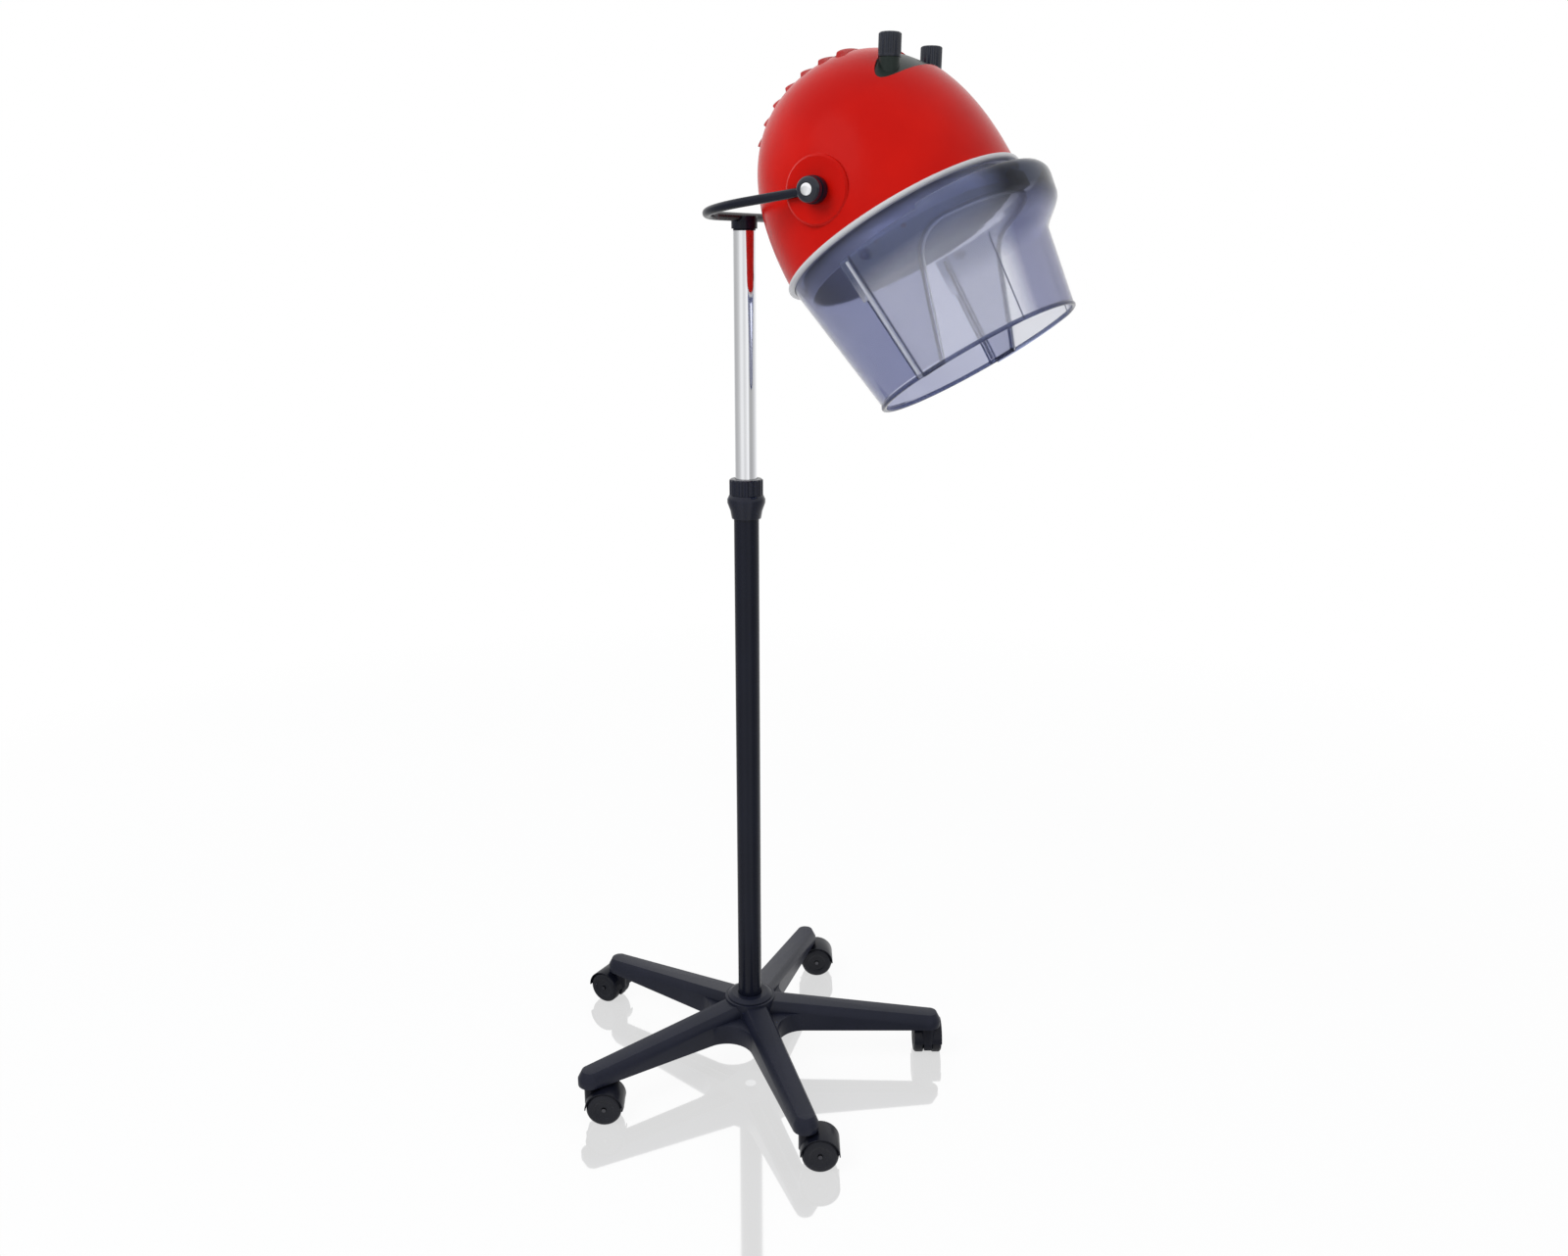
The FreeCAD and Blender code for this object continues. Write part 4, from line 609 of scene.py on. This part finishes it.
# A flat scale with its share of the lift at each point, highest at the lip over the slot
def flatScale():
    length = louvre["overhang"] + louvre["reach"]
    lip = louvre["slot"] / 2 - louvre["overhang"]
    clearSelection()
    bpy.ops.mesh.primitive_grid_add(x_subdivisions=louvre["columns"],
                                    y_subdivisions=louvre["rows"], size=1)
    flat = named(bpy.context.object, "ventScale")
    editAll(flat)
    bpy.ops.transform.resize(value=(louvre["width"], length, 1))
    bpy.ops.transform.translate(value=(0, lip + length / 2, louvre["hover"]))
    leaveEdit()
    group = flat.vertex_groups.new(name="lift")
    for point in flat.data.vertices:
        along = min(max((point.co.y - lip) / length, 0), 1)
        inward = 1 - abs(point.co.x) * 2 / louvre["width"]
        rise = (1 - along ** louvre["fall"]) * ease(inward / louvre["endRound"])
        group.add([point.index], rise * (1 - louvre["footLift"]) + louvre["footLift"], "REPLACE")
    return flat


# Scales that rise from the crown side and end over the slots
def makeLouvres():
    outline = [domeSpot(90 * i / dome["bands"]) for i in range(dome["bands"] + 1)]
    form = turnedPiece("domeForm", outline, dome["steps"])
    flat = flatScale()
    scales = []
    for back, up, slope in louvrePlaces():
        makeActive(flat)
        bpy.ops.object.duplicate()
        scale = bpy.context.object
        scale.location = (0, back, up)
        scale.rotation_euler = (slope, 0, math.pi)
        modify(scale, "SHRINKWRAP", target=form, wrap_method="PROJECT", use_project_z=True,
               use_negative_direction=True, use_positive_direction=False,
               offset=louvre["clearance"])
        modify(scale, "DISPLACE", strength=louvre["lift"], mid_level=0, vertex_group="lift")
        bpy.ops.object.transform_apply(location=True, rotation=True, scale=True)
        modify(scale, "SOLIDIFY", thickness=louvre["wall"], offset=-1)
        roundEdges(scale, louvre["edgeRound"])
        scales.append(scale)
    scales = joinPieces("ventScales", scales)
    smoothPiece(scales, louvre["smooth"])
    settle(scales, "hood_red", "hood", ["vent_louvres"], hoodPlace, ventRedPaintedShade)
    bpy.data.objects.remove(flat)
    bpy.data.objects.remove(form)


makeLouvres()
print("louvres made")

ring = {
    "inner": 0.144,
    "flange": 0.003,
    "skirtHead": 0.1541,
    "bead": 0.0045,
    "beadHalfHeight": 0.0033,
    "beadRoot": 0.35,          # share of the bead that stands out where it starts and ends
    "beadSteps": 12,
    "domeGap": 0.0001,
    "steps": 144,
}


def makeTrimRing():
    base = dome["radius"]
    middle = -ring["flange"] / 2
    profile = [(ring["inner"], -ring["flange"]), (ring["skirtHead"], -ring["flange"]),
               (ring["skirtHead"], middle - ring["beadHalfHeight"])]
    for step in range(ring["beadSteps"] + 1):
        angle = math.radians(180 * step / ring["beadSteps"] - 90)
        stand = ring["beadRoot"] + (1 - ring["beadRoot"]) * math.cos(angle)
        profile.append((base + ring["bead"] * stand,
                        middle + ring["beadHalfHeight"] * math.sin(angle)))
    seat = base + ring["domeGap"]
    profile += [(seat, middle + ring["beadHalfHeight"]), (seat, 0), (ring["inner"], 0),
                (ring["inner"], -ring["flange"])]
    band = turnedPiece("trimBand", profile, ring["steps"])
    settle(band, "ring_pale", "hood", ["trim_ring"], hoodPlace)


makeTrimRing()
print("trim ring made")

# Drops are measured down from the ring, and the window runs forward of the axis
skirt = {
    "topRadius": 0.154,
    "rimRadius": 0.124,
    "topDrop": 0.003,
    "rimDrop": 0.187,
    "wall": 0.0025,
    "wallSteps": 20,
    "steps": 120,
    "smooth": 35,
    "rimBead": 0.0015,
    "rimBeadHeight": 0.005,
    "windowRim": 0.013,        # where the opening's edge meets the rim
    "windowSlope": 0.046,      # where it stands at the drop below
    "windowSlopeDrop": 0.092,
    "windowTop": 0.044,
    "windowCorner": 0.045,
    "sideSteps": 10,
    "cornerSteps": 12,
    "frontSteps": 14,
    "cutBelow": 0.02,
    "cutReach": 0.25,
    "cutHalfWidth": 0.2,
    "edgeTube": 0.0013,
    "bandTube": 0.0018,
    "bandGap": 0.0040,
    "rimTube": 0.0027,
    "rimTubeRise": 0.002,
    "rimTubeSteps": 60,
}


def skirtRadius(drop):
    share = (drop - skirt["topDrop"]) / (skirt["rimDrop"] - skirt["topDrop"])
    return skirt["topRadius"] + (skirt["rimRadius"] - skirt["topRadius"]) * share


# Edge of the face opening from its foot over the rounded corner to the front, seen from the side
def windowLine():
    lean = ((skirt["windowSlope"] - skirt["windowRim"])
            / (skirt["rimDrop"] - skirt["windowSlopeDrop"]))
    kneeForward = skirt["windowRim"] + lean * (skirt["rimDrop"] - skirt["windowTop"])
    foot = Vector((0, -skirt["windowRim"], -skirt["rimDrop"]))
    knee = Vector((0, -kneeForward, -skirt["windowTop"]))
    toFoot = (foot - knee).normalized()
    toFront = Vector((0, -1, 0))
    halfTurn = toFoot.angle(toFront) / 2
    start = knee + toFoot * (skirt["windowCorner"] / math.tan(halfTurn))
    centre = knee + (toFoot + toFront).normalized() * (skirt["windowCorner"] / math.sin(halfTurn))
    turn = math.pi - 2 * halfTurn
    line = [foot.lerp(start, i / skirt["sideSteps"]) for i in range(skirt["sideSteps"])]
    for i in range(skirt["cornerSteps"] + 1):
        swung = Matrix.Rotation(turn * i / skirt["cornerSteps"], 3, "X") @ (start - centre)
        line.append(centre + swung)
    cornerEnd = line[-1]
    front = Vector((0, -skirtRadius(skirt["windowTop"]), -skirt["windowTop"]))
    for i in range(skirt["frontSteps"]):
        line.append(cornerEnd.lerp(front, (i + 1) / skirt["frontSteps"]))
    return line


def onSkirt(spot, side):
    radius = skirtRadius(-spot.z)
    return Vector((side * math.sqrt(max(radius * radius - spot.y * spot.y, 0)), spot.y, spot.z))


# The opening's line moved towards the wall
def besideWindow(line, gap):
    moved = []
    for i, spot in enumerate(line):
        run = (line[min(i + 1, len(line) - 1)] - line[max(i - 1, 0)]).normalized()
        moved.append(spot + Vector((0, run.z, -run.y)) * gap)
    return moved


# The line laid on the skirt, up one side of the opening and down the other
def archOver(line):
    return ([onSkirt(spot, 1) for spot in line]
            + [onSkirt(spot, -1) for spot in reversed(line[:-1])])


def skirtProfile():
    wall = skirt["wall"]
    bulge = skirt["rimBead"]
    rim = skirt["rimDrop"]
    bead = rim - skirt["rimBeadHeight"]
    depth = bead - bulge - skirt["topDrop"]
    levels = [skirt["topDrop"] + depth * i / skirt["wallSteps"]
              for i in range(skirt["wallSteps"] + 1)]
    profile = [(skirtRadius(drop), -drop) for drop in levels]
    profile += [(skirtRadius(bead) + bulge, -bead), (skirtRadius(rim) + bulge, -rim),
                (skirtRadius(rim) - wall, -rim)]
    profile += [(skirtRadius(drop) - wall, -drop) for drop in reversed(levels)]
    return profile + [profile[0]]


# A block of the opening's side view, wide enough to cut through both walls
def openingBlock(line):
    below = line[0] + (line[0] - line[1]).normalized() * skirt["cutBelow"]
    outline = [below] + line
    outline += [Vector((0, -skirt["cutReach"], spot.z)) for spot in (line[-1], below)]
    block = drawnLine("openingBlock", outline)
    editAll(block)
    bpy.ops.mesh.edge_face_add()
    bpy.ops.transform.translate(value=(-skirt["cutHalfWidth"], 0, 0))
    bpy.ops.mesh.extrude_region_move(
        TRANSFORM_OT_translate={"value": (2 * skirt["cutHalfWidth"], 0, 0)})
    leaveEdit()
    outwards(block)
    return block


def makeSkirt():
    line = windowLine()
    cup = turnedPiece("smokedSkirt", skirtProfile(), skirt["steps"])
    block = openingBlock(line)
    modify(cup, "BOOLEAN", operation="DIFFERENCE", object=block, solver="EXACT")
    bpy.data.objects.remove(block)
    roundEdges(cup, bench["edgeRound"])
    smoothPiece(cup, skirt["smooth"])
    settle(cup, "smoked_blue", "hood", ["skirt"], hoodPlace)

    # The dark tubes beside the opening and along the rim are painted shade lines; the pale tube on
    # the opening's edge is a painted highlight line
    bandLine = archOver(besideWindow(line, skirt["bandGap"]))
    band = tubeAlong("openingBand", bandLine, skirt["bandTube"])
    edge = tubeAlong("openingEdge", archOver(line), skirt["edgeTube"])
    settle(edge, "smoked_blue", "hood", (), hoodPlace, flangeHighlightSmoke)

    rim = skirt["rimDrop"]
    rimRadius = skirtRadius(rim) + skirt["rimBead"] / 2
    rimEnd = math.degrees(math.acos(skirt["windowRim"] / skirtRadius(rim)))
    rimLine = []
    for i in range(skirt["rimTubeSteps"] + 1):
        azimuth = rimEnd + (360 - 2 * rimEnd) * i / skirt["rimTubeSteps"]
        rimLine.append(hoodPoint(rimRadius, azimuth, rim - skirt["rimTubeRise"]))
    edges = joinPieces("skirtShadeLines", [band, tubeAlong("skirtRim", rimLine, skirt["rimTube"])])
    settle(edges, "smoked_blue", "hood", (), hoodPlace, edgeShadeSmoke)


makeSkirt()
print("skirt made")

# Angles are headings from the front in degrees
visor = {
    "wall": 0.0025,
    "smooth": 35,
    "sideGap": 0.0025,
    "frontStand": 0.009,
    "endAngle": 97,
    "columns": 40,
    "creaseAngle": 38.8,
    "creaseRise": 0.004,
    "topDrop": 0.021,
    "sideTopDrop": 0.026,
    "sideTopStart": 62,
    "browDepth": 0.023,
    "browFullDrop": 0.057,
    "browEndDrop": 0.091,
    "browCurl": 0.007,
    "browCurlDrop": 0.035,
    "browFullAngle": 45,
    "browEndAngle": 90,
    "formRadius": 0.110,       # upright sheet that is pushed out to the wall
    "formReach": 0.09,
    # Drops in millimetres
    "levels": [21, 26, 31, 37, 44, 51, 57, 62, 67, 72, 77, 80, 84, 88, 91, 100, 112, 126, 142,
               158, 172, 182, 187],
    "stripTurn": 6.5,
    "stripJog": 0.080,         # drop at which the rear strip gets narrower
    "lowStripTurn": 3.8,
    "stripInset": 0.0003,
    "stripSteps": 2,
    "stripStart": 0.5,         # the wall further behind the end than this is strip
    "edgeCatch": 0.4,          # how near to the end a point of the rear edge lies
    "dropCatch": 0.0001,
    "rimTube": 0.0028,
    "rimTubeRise": 0.001,
    "rimTubeSteps": 60,
    "endTube": 0.0015,
    "stripEdgeTube": 0.0014,
    "creaseTube": 0.0010,
    "flangeTube": 0.0021,
    "flangeSink": 0.0003,
    "flangeTurn": 1.9,
}


def visorRadius(azimuth, drop):
    angle = abs(azimuth)
    end = visor["endAngle"]
    crease = visor["creaseAngle"]
    across = max(math.cos(math.radians(angle * 90 / end)), 0)
    radius = skirtRadius(drop) + visor["sideGap"] + visor["wall"] + visor["frontStand"] * across
    if angle > end + visor["stripStart"]:
        return radius - visor["stripInset"]
    middle = (crease + end) / 2
    facet = (angle / crease) ** 2 if angle <= crease else ((angle - middle) / (end - middle)) ** 2
    browDown = ease((visor["browEndDrop"] - drop)
                    / (visor["browEndDrop"] - visor["browFullDrop"]))
    browRound = ease((visor["browEndAngle"] - angle)
                     / (visor["browEndAngle"] - visor["browFullAngle"]))
    curl = max((visor["browCurlDrop"] - drop)
               / (visor["browCurlDrop"] - visor["topDrop"]), 0) ** 2
    return (radius + visor["creaseRise"] * facet * across
            + (visor["browDepth"] * browDown - visor["browCurl"] * curl) * browRound)


# Draws out the rear edge of the visor between two drops and swings the new edge round the hood
def addVisorStrip(wall, side, high, low, turn):
    def onEdge(spot):
        isRear = abs(azimuthOf(spot) - side * visor["endAngle"]) < visor["edgeCatch"]
        return isRear and high - visor["dropCatch"] < -spot.z < low + visor["dropCatch"]

    pick(wall, "VERT", onEdge)
    for _ in range(visor["stripSteps"]):
        bpy.ops.mesh.extrude_region_move()
        bpy.ops.transform.rotate(value=-side * math.radians(turn / visor["stripSteps"]),
                                 orient_axis="Z", center_override=(0, 0, 0))
    leaveEdit()


# Upright open sheet with the visor's outline, rear strips and lowered side tops
def visorSheet(drops):
    end = visor["endAngle"]
    start = [hoodPoint(visor["formRadius"], end, drop) for drop in drops]
    sheet = drawnLine("smokedVisor", start)
    spinLine(sheet, visor["columns"], 2 * end)
    for side in (-1, 1):
        addVisorStrip(sheet, side, visor["sideTopDrop"], visor["stripJog"], visor["stripTurn"])
        addVisorStrip(sheet, side, visor["stripJog"], skirt["rimDrop"], visor["lowStripTurn"])

    def overSide(spot):
        return abs(azimuthOf(spot)) > visor["sideTopStart"] and -spot.z < visor["sideTopDrop"]

    pick(sheet, "FACE", overSide)
    bpy.ops.mesh.delete(type="FACE")
    leaveEdit()
    outwards(sheet)
    awayFromAxis(sheet)
    return sheet


# Dark tubes in the middle of the wall along its rim, rear edges and creases, as painted shade lines
def visorShadeLineTubes(drops):
    end = visor["endAngle"]
    rim = skirt["rimDrop"]

    def inWall(azimuth, drop, rise=0.0):
        return hoodPoint(visorRadius(azimuth, drop) - visor["wall"] / 2, azimuth, drop - rise)

    steps = visor["rimTubeSteps"]
    turns = [end * (2 * i / steps - 1) for i in range(steps + 1)]
    edges = [tubeAlong("visorRim", [inWall(turn, rim, visor["rimTubeRise"]) for turn in turns],
                       visor["rimTube"])]
    endDrops = [drop for drop in drops if drop >= visor["sideTopDrop"]]
    stripDrops = [drop for drop in drops if drop >= visor["stripJog"]]
    creaseDrops = [drop for drop in drops if drop > visor["stripJog"]]
    runs = [("visorEnd", end, endDrops, visor["endTube"]),
            ("visorStripEdge", end + visor["lowStripTurn"], stripDrops, visor["stripEdgeTube"]),
            ("visorCrease", visor["creaseAngle"], creaseDrops, visor["creaseTube"])]
    for side in (-1, 1):
        for name, azimuth, run, radius in runs:
            edges.append(tubeAlong(name, [inWall(side * azimuth, drop) for drop in run], radius))
    return joinPieces("visorShadeLines", edges)


# Pale tubes just behind the rear edges, as painted highlight lines
def visorFlangeHighlightTubes(drops):
    end = visor["endAngle"]
    flanges = []
    for side in (-1, 1):
        line = [hoodPoint(visorRadius(end, drop) - visor["flangeSink"],
                          side * (end + visor["flangeTurn"]), drop)
                for drop in drops if visor["sideTopDrop"] < drop < skirt["rimDrop"]]
        flanges.append(tubeAlong("visorFlange", line, visor["flangeTube"]))
    return joinPieces("visorFlangeHighlights", flanges)


def makeVisor():
    drops = [level / 1000 for level in visor["levels"]]
    wall = visorSheet(drops)

    def towardsWall(spot):
        growth = visorRadius(azimuthOf(spot), -spot.z) - math.hypot(spot.x, spot.y)
        return growth / visor["formReach"]

    pushOut(wall, visor["formReach"], towardsWall)
    modify(wall, "SOLIDIFY", thickness=visor["wall"], offset=-1, use_even_offset=True)
    roundEdges(wall, bench["edgeRound"])
    smoothPiece(wall, visor["smooth"])
    settle(wall, "visor_blue", "visor_flap", ["visor"], hoodPlace)
    settle(visorShadeLineTubes(drops), "smoked_blue", "visor_flap", (), hoodPlace, edgeShadeSmoke)
    settle(visorFlangeHighlightTubes(drops), "smoked_blue", "visor_flap", (), hoodPlace, flangeHighlightSmoke)


makeVisor()
print("visor made")

# Profiles are distance from the pivot's line and height above the seat
tiltKnob = {
    "seat": 0.1688,
    "grip": [(0.0041, 0), (0.0138, 0), (0.0149, 0.0007), (0.0152, 0.0020), (0.0152, 0.0064),
             (0.0148, 0.0084), (0.0140, 0.0103), (0.0128, 0.0118), (0.0113, 0.0129),
             (0.0096, 0.0134), (0.0077, 0.0136), (0.0075, 0.0132), (0.0073, 0.0120),
             (0.0041, 0.0112), (0.0041, 0)],
    "gripSteps": 64,
    "cap": [(0, 0.0118), (0.0070, 0.0120), (0.0072, 0.0134), (0.0065, 0.0143),
            (0.0050, 0.0148), (0.0026, 0.0150), (0, 0.0150)],
    "capSteps": 48,
}


def makeTiltKnobs():
    pivotBack = -hoodMount["pivotReach"]
    for side, body, node in ((-1, "left_knob", "tilt_knob_left"),
                             (1, "right_knob", "tilt_knob_right")):
        place = (Matrix.Translation((side * tiltKnob["seat"], pivotBack, hoodMount["pivotHeight"]))
                 @ Matrix.Rotation(math.radians(90 * side), 4, "Y"))
        grip = turnedPiece(node + "Grip", tiltKnob["grip"], tiltKnob["gripSteps"])
        settle(grip, "knob_black", body, [node], place)
        cap = turnedPiece(node + "Cap", tiltKnob["cap"], tiltKnob["capSteps"])
        settle(cap, "chrome", body, (), place)


makeTiltKnobs()
print("tilt knobs made")

# Slot, body and edge rounding in metres of the carried-over forms
soft = {
    "base_star": ("base_black", "base", 0.0022),
    "hub_cover": ("base_black", "base", 0.0016),
    "collar_body": ("collar_black", "base", 0.0010),
    "clamp_nut": ("collar_black", "clamp", 0.0009),
    "top_bush": ("collar_black", "mast", 0.0008),
    "yoke": ("mast_black", "yoke_arm", 0.0012),
    "visor_catch": ("catch_dark", "hood", 0.0012),
    "timer_knob": ("knob_black", "timer_dial", 0.0006),
    "heat_knob": ("knob_black", "heat_dial", 0.0006),
}
for number in range(1, 6):
    caster = "caster_%d" % number
    soft[caster + "_housing"] = ("caster_black", caster, 0.0008)
    for hand in ("left", "right"):
        soft[caster + "_wheel_" + hand] = ("wheel_black", caster + "_" + hand, 0.0012)

softening = {
    "weld": 0.00001,
    "flatAngle": 2,            # faces that meet flatter than this become one
    "steps": 3,
    "angle": 32,
}


# A merged copy of a packed form with its sharp edges rounded over
def makeSoft(node, slot, body, width):
    nodes[node].hide_set(False)
    makeActive(nodes[node])
    bpy.ops.object.duplicate()
    piece = named(bpy.context.object, node + "Soft")
    bpy.ops.object.parent_clear(type="CLEAR_KEEP_TRANSFORM")
    bpy.ops.object.transform_apply(location=True, rotation=True, scale=True)
    editAll(piece)
    bpy.ops.mesh.remove_doubles(threshold=softening["weld"])
    bpy.ops.mesh.dissolve_limited(angle_limit=math.radians(softening["flatAngle"]))
    bpy.ops.mesh.customdata_custom_splitnormals_clear()
    leaveEdit()
    roundEdges(piece, width, softening["steps"], softening["angle"])
    smoothPiece(piece, softening["angle"])
    settle(piece, slot, body, [node])


for node, (slot, body, width) in soft.items():
    makeSoft(node, slot, body, width)
print("soft edges made")

# Pale floor that fades into white, a room that reflects softly, and wide lamps
studio = {
    "floorSize": 60,
    "floorColour": (0.88, 0.89, 0.91, 1),
    "floorGlow": 0.91,
    "floorMirror": 0.28,
    "floorPolish": 0.05,
    "floorFade": (1.2, 2.6),   # distances from the mast
    "floorReflected": 1.0,
    "skyFill": 0.42,
    # Brightness that reflections see by share of a turn, and above the walls
    "room": [0.88, 0.70, 0.80, 1.0, 0.45, 0.42, 0.50, 0.62, 0.75, 0.88, 0.95, 0.95, 0.90, 0.75,
             0.55, 0.46, 0.48, 0.52, 0.62, 0.85, 0.88],
    "roomAbove": 1.0,
    "roomTop": (0.12, 0.34),
    "cameraAt": (-1.622, -0.9216, 1.200),
    "cameraDown": 0.2674,      # radians
    "cameraHeading": 62,
    "lens": 31.198,
    "sensor": 36,
    "lamps": [
        {"name": "keyLamp", "at": (-2.3, 0.9, 2.9), "size": 2.2, "power": 60},
        {"name": "fillLamp", "at": (0.4, -2.9, 2.0), "size": 2.4, "power": 26},
        {"name": "backLamp", "at": (2.2, 1.6, 2.6), "size": 2.2, "power": 22},
    ],
    "lampAim": (0, -0.1, 0.9),
}
white = (1, 1, 1, 1)


def grey(level):
    return (level, level, level, 1)


# Brightness of the room by heading
def roomWalls(cover):
    levels = studio["room"]
    stops = [(i / (len(levels) - 1), grey(level)) for i, level in enumerate(levels)]
    share = cover.add("ShaderNodeTexGradient", {"gradient_type": "RADIAL"},
                      {"Vector": cover.place}, output="Fac")
    return cover.add("ShaderNodeValToRGB", {"stops": stops}, {"Fac": share})


def rays(cover, kind):
    return cover.add("ShaderNodeLightPath", output="Is %s Ray" % kind)


def mixShaders(cover, share, first, second):
    return cover.add("ShaderNodeMixShader", None, {0: share, 1: first, 2: second})


def makeFloor():
    clearSelection()
    bpy.ops.mesh.primitive_plane_add(size=studio["floorSize"])
    floor = bpy.context.object
    floor.name = "studioFloor"
    cover = Finish(bpy.data.materials.new("floorWhite"))
    far = cover.add("ShaderNodeVectorMath", {"operation": "LENGTH"}, {0: cover.place},
                    output="Value")
    dull = cover.add("ShaderNodeBsdfDiffuse", None, {"Color": studio["floorColour"]})
    glow = cover.add("ShaderNodeEmission", None, {"Color": white, "Strength": 1.0})
    room = cover.add("ShaderNodeEmission", None,
                     {"Color": roomWalls(cover), "Strength": studio["floorReflected"]})
    mirror = cover.add("ShaderNodeBsdfGlossy", None,
                       {"Color": white, "Roughness": studio["floorPolish"]})
    near = mixShaders(cover, studio["floorGlow"], dull, glow)
    polished = mixShaders(cover, studio["floorMirror"], near, mirror)
    faded = mixShaders(cover, cover.band(far, *studio["floorFade"]), polished, glow)
    watched = mixShaders(cover, rays(cover, "Camera") + rays(cover, "Transmission"), dull, faded)
    final = mixShaders(cover, rays(cover, "Glossy"), watched, room)
    cover.add("ShaderNodeOutputMaterial", None, {"Surface": final})
    floor.data.materials.append(cover.block)


def makeSky():
    world = bpy.data.worlds.new("studioSky")
    bpy.context.scene.world = world
    sky = Finish(world, "Generated")
    height = sky.add("ShaderNodeSeparateXYZ", None, {"Vector": sky.place}, output="Z")
    room = sky.mix(sky.band(height, *studio["roomTop"]), roomWalls(sky),
                   grey(studio["roomAbove"]))
    fill = sky.add("ShaderNodeBackground", None, {"Color": white, "Strength": studio["skyFill"]})
    backdrop = sky.add("ShaderNodeBackground", None, {"Color": white, "Strength": 1.0})
    reflected = sky.add("ShaderNodeBackground", None, {"Color": room, "Strength": 1.0})
    watched = mixShaders(sky, rays(sky, "Camera") + rays(sky, "Transmission"), fill, backdrop)
    final = mixShaders(sky, rays(sky, "Glossy"), watched, reflected)
    sky.add("ShaderNodeOutputWorld", None, {"Surface": final})


def makeLamps():
    for row in studio["lamps"]:
        bpy.ops.object.light_add(type="AREA", location=row["at"])
        lamp = bpy.context.object
        lamp.name = row["name"]
        lamp.data.shape = "DISK"
        lamp.data.size = row["size"]
        lamp.data.energy = row["power"]
        aim = Vector(studio["lampAim"]) - Vector(row["at"])
        lamp.rotation_euler = aim.to_track_quat("-Z", "Y").to_euler()
        lamp.visible_glossy = False


def makeCamera():
    bpy.ops.object.camera_add(location=studio["cameraAt"])
    camera = bpy.context.object
    camera.name = "photoCamera"
    camera.rotation_euler = (math.pi / 2 - studio["cameraDown"], 0,
                             -math.radians(studio["cameraHeading"]))
    camera.data.lens = studio["lens"]
    camera.data.sensor_fit = "HORIZONTAL"
    camera.data.sensor_width = studio["sensor"]
    bpy.context.scene.camera = camera
    bpy.context.scene.view_settings.view_transform = "Standard"


makeFloor()
makeSky()
makeLamps()
makeCamera()
print("studio ready")
